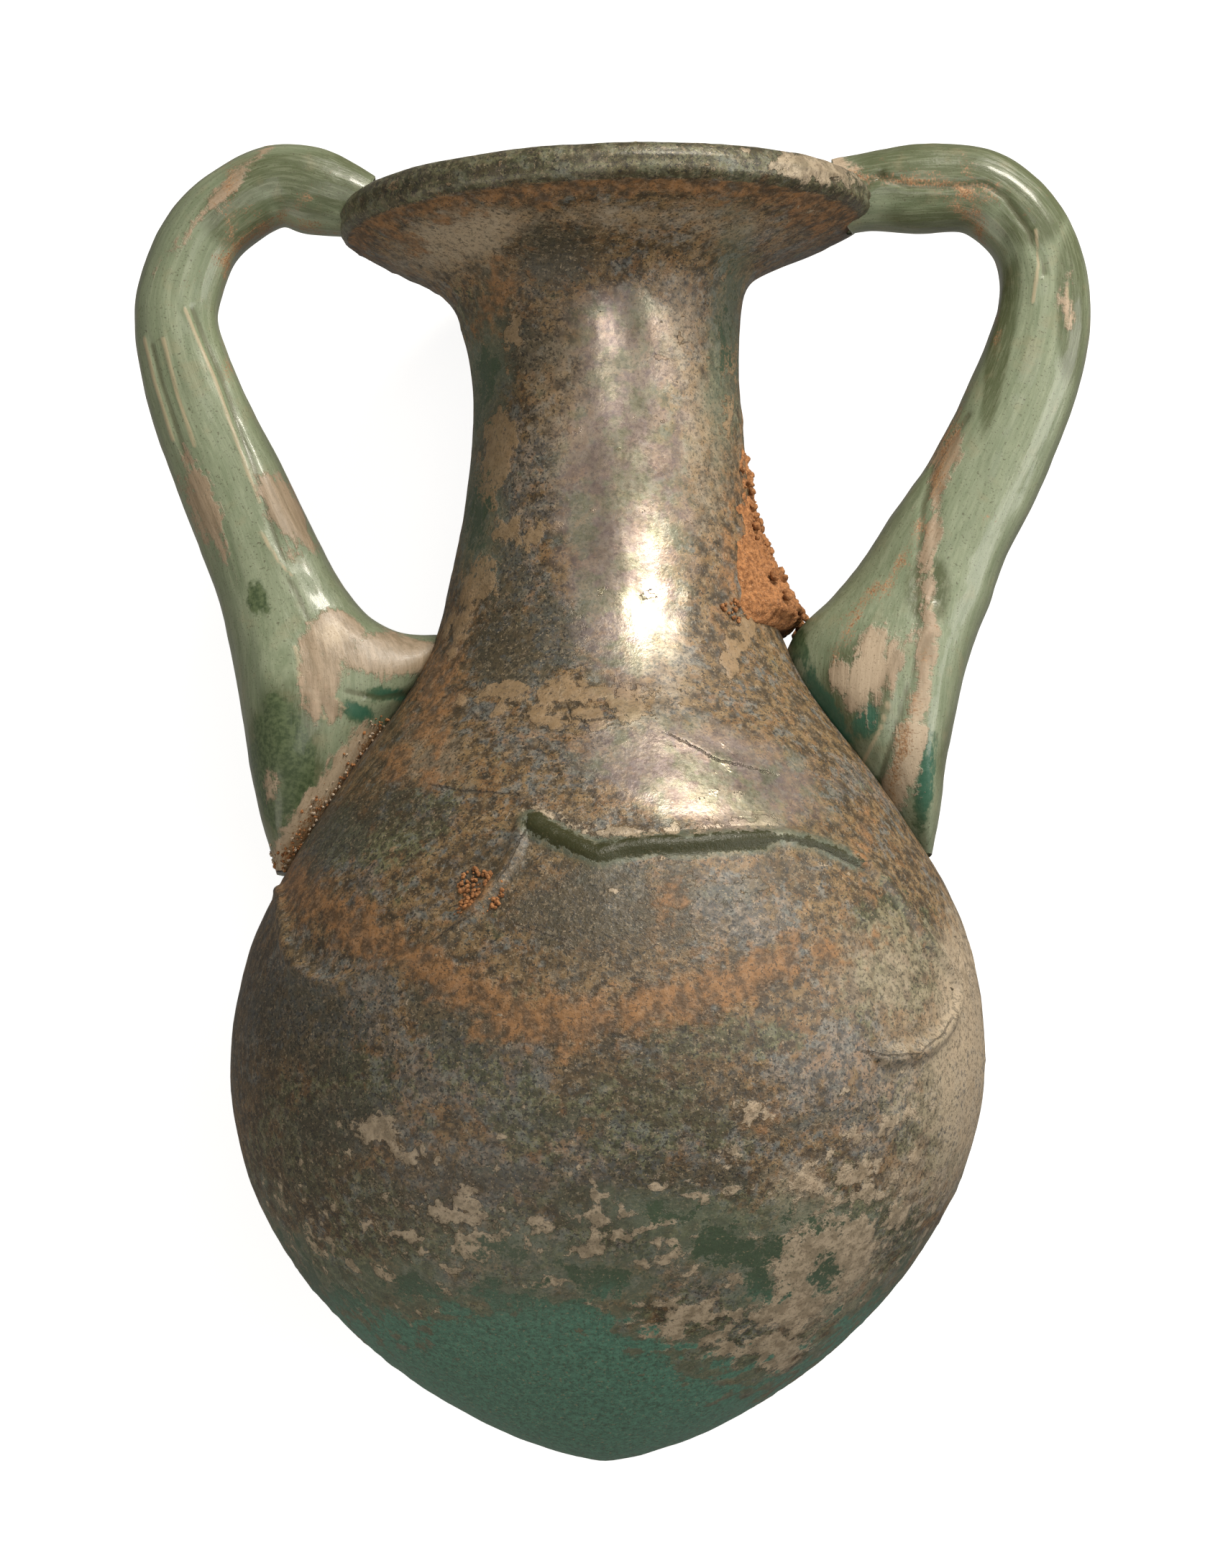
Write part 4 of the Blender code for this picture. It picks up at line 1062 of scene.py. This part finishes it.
def dress_vessel(film):
    """The vessel with its film, and with the grooves and the crease of its folded collar."""
    mesh = turned_vessel()
    canvas = Canvas(mesh)
    relief = paint_film(canvas)
    radius = np.hypot(canvas.local[:, 0], canvas.local[:, 2])
    outside = smooth(radius - np.interp(canvas.up, HEIGHTS, RADII), -0.9 * MM, -0.3 * MM)
    collar = smooth(canvas.up, FOLD_HEIGHT - 0.3 * MM, FOLD_HEIGHT + 0.3 * MM)
    round_face = collar * (radius > RIM_RADIUS * 0.9)
    groove = canvas.level(HEIGHT - RIM_HEIGHT * 0.55, 0.30 * MM) * round_face
    second = canvas.level(HEIGHT - RIM_HEIGHT * 0.25, 0.22 * MM) * round_face
    crease = canvas.level(FOLD_HEIGHT - 0.2 * MM, 0.45 * MM) * outside
    relief = relief * np.maximum(outside, collar)
    relief -= groove * COLLAR_GROOVE + second * SECOND_GROOVE + crease * COLLAR_CREASE
    canvas.move_out(relief)
    add_piece("glass_vessel", mesh, film, "weathered_glass", "vessel")


def boxy(value):
    """Bends a sine or cosine so that an oval turns squarer."""
    return math.copysign(abs(value) ** SECTION_POWER, value)


def handle_path(stations, reach, foot_drop):
    """The spine of a handle and its sizes, as fine steps from the rim to the tail."""
    top = Vector((RIM_RADIUS, HEIGHT - RIM_HEIGHT / 2))
    foot_height = SHOULDER_HEIGHT - foot_drop
    tail = Vector((outer_radius(foot_height), foot_height))
    full_stand = reach - blend(top.x, tail.x, FULLEST_DOWN)
    rows = [(number, *row) for number, row in enumerate(stations)]
    count = (len(rows) - 1) * HANDLE_STEPS
    path = []
    for step in range(count + 1):
        down, out, *sizes = curve_value(rows, step / HANDLE_STEPS)
        base = top.lerp(tail, down)
        sizes = [size * HANDLE_HALF_WIDTH for size in sizes]
        path.append((Vector((base.x + out * full_stand, base.y)), sizes))
    for _ in range(2):
        spines = [spine for spine, _ in path]
        for index in range(SPINE_EASE, count + 1 - SPINE_EASE):
            near = spines[index - SPINE_EASE:index + SPINE_EASE + 1]
            path[index] = (sum(near, Vector((0.0, 0.0))) / len(near), path[index][1])
    return path


def handle_groove(angle, along, side):
    """How deep the drawn streaks go round a handle: -1 on a crest to 1 in a groove."""
    ring = Vector((math.cos(angle) * 1.7, math.sin(angle) * 1.7, along * 1.1 + side * 7))
    fine = Vector((math.cos(angle) * 5.0, math.sin(angle) * 5.0, along * 1.6 + side * 3))
    rib = math.cos(6 * angle + 0.6 * math.sin(along * 2.0))
    return 0.45 * rib + 1.1 * noise.noise(ring) + 0.7 * noise.noise(fine)


def swept_handle(name, side, stations, reach, foot_drop):
    """A handle's fine mesh; what would stand inside the vessel is held in its wall."""
    path = handle_path(stations, reach, foot_drop)
    shape = bmesh.new()
    streaks = shape.verts.layers.float.new("streak")
    lay = shape.verts.layers.float_vector.new("lay")
    ring = bmesh.ops.create_circle(shape, segments=HANDLE_SIDES, radius=1.0)["verts"]
    first = list(ring)
    length = 0.0
    for index, (spine, (outer_half, inner_half, half_depth)) in enumerate(path):
        before = path[max(index - 1, 0)][0]
        far_before = path[max(index - HANDLE_TURNING, 0)][0]
        far_after = path[min(index + HANDLE_TURNING, len(path) - 1)][0]
        along = (far_after - far_before).normalized()
        outward = Vector((-along.y, along.x))
        length += (spine - before).length
        if index:
            ring = next_row(shape, ring, closed=True)
        for number, vert in enumerate(ring):
            angle = math.tau * number / HANDLE_SIDES
            inward = max(-math.cos(angle), 0.0)
            depth = handle_groove(angle, length / 0.012, side)
            fade = min(1.0, outer_half / HANDLE_HALF_WIDTH)
            half = outer_half if math.cos(angle) > 0 else inner_half
            across = outward * boxy(math.cos(angle)) * half
            thick = boxy(math.sin(angle)) * half_depth
            place = Vector((side * (spine.x + across.x), spine.y + across.y, thick))
            if side < 0:
                web = inward * math.exp(-((place.x + LEFT_WEB_FROM_AXIS) / LEFT_WEB_HALF) ** 2)
                place += Vector((web * LEFT_WEB_REACH, web * LEFT_WEB, 0.0))
            radius = math.hypot(place.x, place.z)
            least = outer_radius(min(max(place.y, 0.0), HEIGHT)) - HELD_DEPTH
            if radius < least and place.y < FOLD_HEIGHT:
                place.x *= least / radius
                place.z *= least / radius
            vert.co = LAID @ place
            vert[streaks] = depth * fade
            vert[lay] = Vector((math.cos(angle) * half, math.sin(angle) * half_depth, length))
    for _ in range(HANDLE_SMOOTHINGS):
        bmesh.ops.smooth_vert(shape, verts=shape.verts, factor=0.5, use_axis_x=True,
                              use_axis_y=True, use_axis_z=True)
    shape.faces.new(first)
    shape.faces.new(ring)
    bmesh.ops.recalc_face_normals(shape, faces=shape.faces)
    return finished_mesh(name, shape)


# Marks on the handles in the photographed view, the spots as (x, y, half width, half height, turn):
# dirt is tan film, pale its cream part, deep clean green glass, teal where that glass is bluest,
# rust grainy crust and shade darker sage.  Strips of film are a half width and a line, ribs have
# a pale crest that is partly tan film and partly a painted highlight, and creases are dark lines
# that are partly painted shade along the grooves and beside the ribs.
LEFT_MARKS = {
    "dirt": (
        (284, 715, 18, 72, -22), (398, 712, 26, 58, -28), (470, 885, 44, 36, 30),
        (540, 910, 80, 32, 6), (446, 950, 26, 50, 10), (505, 1060, 34, 30, -50),
        (300, 280, 70, 8, -48), (377, 1095, 7, 9, 0),
    ),
    "pale": ((464, 884, 20, 16, 30), (456, 1105, 20, 110, 38), (377, 1095, 9, 10, 0)),
    "deep": (
        (359, 834, 15, 22, -12), (395, 1070, 46, 104, -8), (545, 968, 44, 10, 4),
        (495, 990, 24, 12, 20), (440, 1150, 14, 20, 40),
    ),
    "teal": ((560, 968, 60, 16, 4), (500, 990, 30, 16, 20), (505, 225, 30, 16, 0)),
    "rust": (
        (350, 330, 46, 6, -38), (480, 1095, 12, 100, 38), (425, 1165, 12, 60, 36),
        (318, 400, 4, 60, 0), (455, 325, 60, 4, 14), (520, 1040, 14, 30, 38),
    ),
    "shade": (
        (420, 240, 130, 40, 0), (330, 300, 60, 60, 0), (395, 1060, 70, 140, 0),
        (440, 270, 90, 40, 0),
    ),
    "strips": (
        (22, ((520, 1030), (470, 1085), (424, 1145), (392, 1206))),
        (13, ((432, 893), (436, 940), (462, 990))),
    ),
    "ribs": (
        ((257, 430), (300, 530), (341, 646), (362, 700)), ((200, 470), (214, 530), (240, 612)),
        ((226, 470), (246, 550), (270, 620)), ((410, 900), (420, 950), (452, 1000)),
        ((425, 893), (440, 940), (478, 985)), ((362, 740), (388, 780), (404, 800)),
    ),
    "creases": (
        ((268, 430), (311, 530), (352, 646), (400, 800), (430, 860)),
        ((210, 480), (225, 540), (260, 640)), ((418, 896), (430, 946), (468, 998)),
        ((480, 960), (530, 972), (600, 960)),
    ),
    "crease_depth": 0.10 * MM,
}
RIGHT_MARKS = {
    "dirt": (
        (1206, 925, 24, 62, 14), (1484, 425, 7, 26, 0), (1168, 940, 20, 20, 0),
        (1310, 610, 8, 44, 20), (1125, 225, 56, 26, 12), (1236, 940, 12, 50, 20),
    ),
    "pale": (
        (1262, 1050, 26, 84, 14), (1206, 930, 24, 60, 14), (1484, 425, 9, 30, 0),
        (1168, 950, 20, 24, 0), (1125, 225, 60, 30, 12),
    ),
    "deep": (
        (1205, 1000, 17, 28, 20), (1150, 985, 11, 84, -32), (1112, 900, 11, 40, -12),
        (1190, 1070, 50, 12, 48), (1285, 1080, 11, 76, 6), (1154, 1024, 15, 60, -30),
        (1130, 950, 13, 50, -22),
    ),
    "teal": ((1160, 990, 60, 100, -32), (1205, 1000, 30, 40, 0), (1290, 1080, 20, 80, 6)),
    "rust": (
        (1270, 252, 60, 4, 4), (1340, 262, 34, 4, 20), (1330, 560, 5, 60, 16), (1374, 720, 5, 4, 0),
        (1190, 850, 16, 5, -50), (1262, 760, 5, 40, 26), (1365, 350, 5, 60, -10),
        (1250, 1060, 5, 60, 14), (1190, 860, 5, 30, 30), (1345, 300, 20, 6, 40),
    ),
    "shade": (
        (1320, 240, 190, 60, 4), (1440, 290, 60, 70, 40), (1490, 420, 26, 140, 0),
        (1300, 300, 90, 30, 0), (1250, 235, 90, 40, 0), (1190, 960, 60, 90, 0),
        (1290, 820, 40, 60, 0), (1390, 480, 20, 160, 10), (1340, 1050, 40, 90, 10),
    ),
    "strips": (
        (7, ((1330, 610), (1301, 680), (1291, 780), (1290, 900))),
        (11, ((1290, 880), (1282, 960), (1268, 1030))),
        (20, ((1272, 1020), (1256, 1080), (1238, 1112))),
    ),
    "ribs": (
        ((1300, 700), (1296, 800), (1290, 900), (1262, 1010)), ((1484, 400), (1484, 452)),
        ((1440, 320), (1444, 370), (1436, 420)), ((1236, 900), (1240, 960), (1226, 1010), (1200, 1060)),
    ),
    "creases": (
        ((1345, 575), (1300, 640), (1283, 700), (1276, 787), (1276, 915), (1248, 1007), (1219, 1092)),
        ((1222, 246), (1262, 258), (1330, 260), (1368, 256), (1396, 272), (1430, 320), (1452, 380)),
        ((1303, 680), (1300, 760), (1296, 830)), ((1200, 262), (1226, 240)),
    ),
    "crease_depth": 0.24 * MM,
}


def paint_handle(canvas, marks):
    """Lays out dirt and clean glass on a handle, and returns the relief."""
    front = canvas.front
    coarse = canvas.grain(HANDLE_COARSE_GRAIN, 11)
    medium = canvas.grain(HANDLE_MEDIUM_GRAIN, 12)
    count = len(canvas.x)
    streak = np.empty(count)
    canvas.mesh.attributes["streak"].data.foreach_get("value", streak)
    rib = sum(canvas.ridge(points, RIB_HALF) for points in marks["ribs"])
    crease = sum(canvas.ridge(points, CREASE_HALF) for points in marks["creases"])
    # Rib crests painted pale, partly a painted highlight, and creases painted dark, partly painted shade.
    pale_crest_and_highlight = np.clip(rib, 0, 1)
    canvas.keep("rib_light_and_crease_shade", pale_crest_and_highlight - np.clip(crease, 0, 1) * (1 - pale_crest_and_highlight))
    # Painted shade: the handle is darker where its surface turns away from the camera.
    canvas.keep("edge", (1 - smooth(canvas.normals[:, 2], 0.15, 0.80)) * front)
    hidden = {"dirt": coarse * 30 + medium * 16 - 22, "deep": coarse * 20 - 14,
              "rust": medium * 20 - 26, "pale": coarse * 20 - 14}
    strips = np.full(count, -1e3)
    for half_width, points in marks["strips"]:
        strips = np.maximum(strips, half_width - canvas.line(points))
    for name, far in hidden.items():
        shown = canvas.spots(marks[name]) + medium * 5
        if name == "dirt":
            shown = np.maximum(shown, strips + medium * 6)
        canvas.keep_patch(name, blend(far, shown, front))
    canvas.keep("shade", zone(canvas, marks["shade"]) * 2.4 * front - 0.6)
    canvas.keep("teal", zone(canvas, marks["teal"]) * front)
    dirt = smooth(canvas.spots(marks["dirt"]) + medium * 5, -3, 3) * front
    relief = coarse * HANDLE_SWELL + dirt * HANDLE_DIRT - (0.5 + 0.5 * streak) * STREAK_DEPTH
    return relief + rib * RIB_HEIGHT - crease * marks["crease_depth"]


def dress_handles(sage):
    """Makes and paints both handles, and returns where the points of each lie."""
    forms = (
        ("left_handle", "handle_left", -1, LEFT_STATIONS, LEFT_REACH, LEFT_FOOT_DROP, LEFT_MARKS),
        ("right_handle", "handle_right", 1, RIGHT_STATIONS, RIGHT_REACH, RIGHT_FOOT_DROP, RIGHT_MARKS),
    )
    canvases = []
    for name, node, side, stations, reach, foot_drop, marks in forms:
        mesh = swept_handle(name, side, stations, reach, foot_drop)
        canvas = Canvas(mesh)
        canvas.move_out(paint_handle(canvas, marks))
        add_piece(name, mesh, sage, "handle_glass", node)
        canvases.append(canvas)
    return canvases


def surface_frame(degrees, height):
    """A point of the body's outside and the direction straight out of it."""
    slope = (outer_radius(height + MM / 3) - outer_radius(height - MM / 3)) / (2 * MM / 3)
    out = Vector((1.0, -slope)).normalized()
    angle = math.radians(degrees)
    radius = outer_radius(height)
    place = Vector((radius * math.sin(angle), height, radius * math.cos(angle)))
    normal = Vector((out.x * math.sin(angle), out.y, out.x * math.cos(angle)))
    return place, normal


# The thread's section, as (share of its half width, share of its height), with skirts that
# run out under the film.
TRAIL_SECTION = (
    (-2.6, -0.14), (-2.0, -0.04), (-1.5, 0.04), (-1.15, 0.16), (-0.90, 0.42), (-0.62, 0.74),
    (-0.32, 0.94), (0.0, 1.0), (0.32, 0.94), (0.62, 0.74), (0.90, 0.42), (1.15, 0.16), (1.5, 0.04),
    (2.0, -0.04), (2.6, -0.14),
)


def trailed_thread():
    """The thread of glass trailed over the body, half sunk in the film."""
    span = NECK_FOOT_HEIGHT - BELLY_HEIGHT
    rows = [(number, *row) for number, row in enumerate(TRAIL_ROUTE)]
    count = (len(rows) - 1) * TRAIL_STEPS
    path = []
    for step in range(count + 1):
        degrees, share, width = curve_value(rows, step / TRAIL_STEPS)
        wobble = 1 + 0.16 * noise.noise(Vector((step * 0.13, 3.0, 0.0)))
        place, normal = surface_frame(degrees, BELLY_HEIGHT + share * span)
        path.append((place, normal, width * wobble))
    shape = bmesh.new()
    ring = [shape.verts.new((share, 0, rise)) for share, rise in TRAIL_SECTION]
    for pair in zip(ring, ring[1:]):
        shape.edges.new(pair)
    for index, (place, normal, width) in enumerate(path):
        along = (path[min(index + 1, count)][0] - path[max(index - 1, 0)][0]).normalized()
        side = along.cross(normal).normalized()
        if index:
            ring = next_row(shape, ring, closed=False)
        half = TRAIL_WIDTH / 2 * width
        proud = THREAD_STANDS * min(width, 1.2)
        for vert, (share, rise) in zip(ring, TRAIL_SECTION):
            vert.co = LAID @ hand_blown(place + side * half * share + normal * proud * rise)
    bmesh.ops.recalc_face_normals(shape, faces=shape.faces)
    return finished_mesh("trailed_thread", shape)


def dress_trail(film):
    """The thread, bare on the front where the film has come off it."""
    mesh = trailed_thread()
    canvas = Canvas(mesh)
    relief = paint_film(canvas)
    ragged = canvas.grain(1.2 * MM, 6) * 3
    plain = THREAD_SHOWS_HALF - canvas.line(THREAD_SHOWS)
    fading = THREAD_FADES_HALF - canvas.line(THREAD_FADES)
    shown = np.where(canvas.front > 0.5, np.maximum(plain, fading) + ragged, -THREAD_COVERED)
    shown = np.clip(shown, -THREAD_COVERED, PATCH_REACH).astype(np.float32)
    mesh.attributes["bare"].data.foreach_set("value", shown)
    canvas.move_out(relief * 0.5)
    add_piece("trailed_thread", mesh, film, "trail_glass", "trail")


def soil_rise(up):
    """How far the wedge stands out at a share of the way up it."""
    return blend(SOIL_THICKEST, SOIL_EDGE, smooth_step(up * 1.35) ** 0.6)


def soil_frame(degrees, up):
    """The neck's surface behind the wedge."""
    return surface_frame(degrees, NECK_FOOT_HEIGHT + SOIL_START + SOIL_LENGTH * up)


def soil_wedge():
    """The caked earth, as a lumpy wedge on the neck."""
    shape = bmesh.new()
    bmesh.ops.create_grid(shape, x_segments=70, y_segments=90, size=0.5)
    base = list(shape.verts)
    made = bmesh.ops.extrude_face_region(shape, geom=list(shape.faces))["geom"]
    crust = [item for item in made if isinstance(item, bmesh.types.BMVert)]
    for verts, is_crust in ((base, False), (crust, True)):
        for vert in verts:
            across, up = vert.co.x + 0.5, vert.co.y + 0.5
            wander = 0.09 * noise.noise(Vector((up * 9, 4.0, across)))
            spread = (SOIL_BACK_ANGLE - SOIL_FRONT_ANGLE) * (1 - 0.62 * up ** 2 + wander)
            angle = blend(SOIL_FRONT_ANGLE, SOIL_BACK_ANGLE, 0.5) + (across - 0.5) * spread
            place, normal = soil_frame(angle, up)
            proud = -0.25 * MM
            if is_crust:
                middle = math.sin(math.pi * min(max(across, 0.0), 1.0)) ** 0.7
                lump = noise.fractal(place / (1.1 * MM), 0.8, 2.2, 4)
                ends = min(1.0, (1 - up) * 14 + 0.1, up * 9 + 0.25 + 0.3 * lump)
                proud += (soil_rise(up) + 0.55 * MM * lump) * middle * max(ends, 0.05)
            vert.co = LAID @ hand_blown(place + normal * proud)
    bmesh.ops.recalc_face_normals(shape, faces=shape.faces)
    return shape


def add_crumb(shape, place, size, seed):
    """A lumpy grain of earth."""
    made = bmesh.ops.create_icosphere(shape, subdivisions=2, radius=size)["verts"]
    turn = Matrix.Rotation(seed * 2.4, 3, Vector((0.4, 0.8, 0.5)).normalized())
    for vert in made:
        swell = 1 + 0.55 * noise.noise(vert.co / size * 0.9 + Vector((seed, 0, 0)))
        vert.co = place + turn @ (vert.co * swell)


def dress_soil(clay):
    """The wedge of earth with loose crumbs on it."""
    shape = soil_wedge()
    chance = random.Random(5)
    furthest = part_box("soil_crust")[1].x
    for number in range(SOIL_CRUMBS):
        across = chance.uniform(0.15, 0.95)
        up = chance.uniform(0.0, 0.9) ** 1.6
        angle = blend(SOIL_FRONT_ANGLE + 8, SOIL_BACK_ANGLE - 10, across)
        place, normal = soil_frame(angle, up)
        size = chance.uniform(0.18, 0.55) * MM * (1.1 - 0.5 * up)
        spot = LAID @ hand_blown(place + normal * soil_rise(up) * 0.85)
        if spot.x < furthest:
            add_crumb(shape, spot, size, number)
    add_piece("soil_crust_crumbs", finished_mesh("soil_crust_crumbs", shape), clay, "earth", "soil_crust")


# Loose grains stuck to the front, as (x, y, half width, half height, how many, largest).
GRAIN_PLACES = (
    (668, 1240, 32, 32, 150, 0.25), (1085, 1160, 14, 5, 8, 0.2), (650, 1270, 20, 14, 20, 0.2),
    (1030, 850, 30, 16, 26, 0.3), (1052, 830, 14, 30, 22, 0.3),
)
SEAM_GRAINS = ((384, 1212), (430, 1165), (470, 1110), (510, 1060), (546, 1007))


def dress_grains(clay):
    """Clusters of crumbs stuck on the shoulder."""
    shape = bmesh.new()
    chance = random.Random(8)
    for x, y, width, height, count, largest in GRAIN_PLACES:
        for number in range(count):
            angle = chance.uniform(0, math.tau)
            reach = math.sqrt(chance.random())
            pixel = (x + width * reach * math.cos(angle), y + height * reach * math.sin(angle))
            place, normal = front_point(pixel)
            size = chance.uniform(0.3, 1.0) * largest * MM
            add_crumb(shape, place + normal * size * 0.5, size, number)
    add_piece("shoulder_crumbs", finished_mesh("shoulder_crumbs", shape), clay, "earth")


def dress_seam(name, handle, material, seed, count):
    """Grit stuck along the foot of the left handle."""
    shape = bmesh.new()
    chance = random.Random(seed)
    for number in range(count):
        part = chance.uniform(0, len(SEAM_GRAINS) - 1)
        start, end = SEAM_GRAINS[int(part)], SEAM_GRAINS[int(part) + 1]
        aside = chance.gauss(-3.0, 7.0)
        across = blend(start[0], end[0], part % 1) + aside - handle.x
        down = blend(start[1], end[1], part % 1) + aside - handle.y
        nearest = int(np.argmin(across ** 2 + down ** 2 + (handle.front < 0.5) * 1e6))
        place, normal = Vector(handle.places[nearest]), Vector(handle.normals[nearest])
        size = chance.uniform(0.06, 0.26) ** 1.3 * MM
        add_crumb(shape, place + normal * size * 0.4, size, number)
    add_piece(name, finished_mesh(name, shape), material, "earth")


# The lamps, as name, place, width, height, watts and colour, all aimed at the flask's middle.
LAMPS = (
    ("key", (0.30, 0.62, 0.36), 0.21, 0.25, 8.8, (1.0, 0.94, 0.84)),
    ("top", (0.06, 0.16, 0.85), 0.24, 0.40, 1.2, (1.0, 0.96, 0.90)),
    ("side", (0.75, 0.05, 0.42), 0.35, 0.60, 5.0, (1.0, 0.96, 0.90)),
    ("fill", (-0.55, -0.55, 0.55), 0.70, 0.70, 4.2, (1.0, 0.92, 0.78)),
)
LAMP_AIM = (0.0, 0.0, 0.03)
AIR_COLOUR = (1.0, 0.96, 0.90, 1.0)
AIR_STRENGTH = 0.24
FLOOR_SIZE = 2.0
FLOOR_DROP = 0.02 * MM
SENSOR_HEIGHT = 36.0


def add_lamp(name, place, width, height, watts, colour):
    data = bpy.data.lights.new(name, "AREA")
    data.shape = "RECTANGLE"
    data.size = width
    data.size_y = height
    data.energy = watts
    data.color = colour
    lamp = put_in_scene(name, data)
    lamp.location = place
    lamp.rotation_euler = (Vector(LAMP_AIM) - Vector(place)).to_track_quat("-Z", "Y").to_euler()


def add_floor():
    """A white floor that glows evenly and still takes the flask's shadow."""
    shape = bmesh.new()
    bmesh.ops.create_grid(shape, x_segments=1, y_segments=1, size=FLOOR_SIZE)
    floor = put_in_scene("floor", finished_mesh("floor", shape))
    floor.location.z = -FLOOR_DROP
    white = Finish("white_floor")
    floor.data.materials.append(white.done(white.surface({
        "Base Color": (0.34, 0.34, 0.34, 1.0), "Roughness": 0.9, "Specular IOR Level": 0.1,
        "Emission Color": (1.0, 1.0, 1.0, 1.0), "Emission Strength": 0.84})))
    floor.visible_diffuse = False
    floor.visible_glossy = False


def add_camera():
    """The camera of the photograph, looking straight down."""
    data = bpy.data.cameras.new("camera")
    data.sensor_fit = "VERTICAL"
    data.sensor_height = SENSOR_HEIGHT
    data.lens = SENSOR_HEIGHT * PIXELS_PER_SLOPE / PICTURE_HEIGHT
    data.clip_start = 0.01
    camera = put_in_scene("camera", data)
    metres_per_pixel = (CAMERA_HEIGHT - LOOKED_AT_HEIGHT) / PIXELS_PER_SLOPE
    off_axis = (PICTURE_WIDTH / 2 - AXIS_PIXEL) * metres_per_pixel
    camera.location = (AXIS_X + off_axis, MIDDLE_Y, CAMERA_HEIGHT)
    bpy.context.scene.camera = camera


def studio():
    """The floor, the light and the camera."""
    add_floor()
    world = bpy.data.worlds.new("studio_air")
    bpy.context.scene.world = world
    world.use_nodes = True
    air = world.node_tree.nodes["Background"]
    air.inputs["Color"].default_value = AIR_COLOUR
    air.inputs["Strength"].default_value = AIR_STRENGTH
    for lamp in LAMPS:
        add_lamp(*lamp)
    bpy.context.scene.view_settings.view_transform = "Standard"
    add_camera()


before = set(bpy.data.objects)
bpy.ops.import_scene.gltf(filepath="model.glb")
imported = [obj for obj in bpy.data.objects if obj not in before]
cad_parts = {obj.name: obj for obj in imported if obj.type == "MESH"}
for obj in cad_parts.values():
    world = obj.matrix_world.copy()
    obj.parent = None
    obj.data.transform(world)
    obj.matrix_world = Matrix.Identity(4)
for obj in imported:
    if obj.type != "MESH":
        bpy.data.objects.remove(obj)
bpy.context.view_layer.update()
LAID = lying_place()
UNLAID = LAID.inverted()
AXIS_X = LAID.translation.x
MIDDLE_Y = (LAID @ Vector((0.0, LOOKED_AT_HEIGHT, 0.0))).y
HEIGHTS = [HEIGHT * step / 400 for step in range(401)]
RADII = [outer_radius(min(up, FOLD_HEIGHT)) for up in HEIGHTS]

studio()
dress_vessel(film_finish("weathered_film", TEAL_GLASS, DARK_GREEN_GLASS, rough=0.40, ior=1.5, dusty=1.0))
left_handle = dress_handles(handle_finish())[0]
dress_trail(film_finish("dark_thread", THREAD_GLASS, THREAD_GLASS, rough=0.24, ior=1.3, dusty=0.3))
clay = earth_finish("orange_earth", *ORANGE_EARTH)
dress_soil(clay)
dress_grains(clay)
dress_seam("seam_rust", left_handle, clay, seed=21, count=230)
dress_seam("seam_grit", left_handle, earth_finish("pale_grit", *PALE_GRIT), seed=22, count=190)
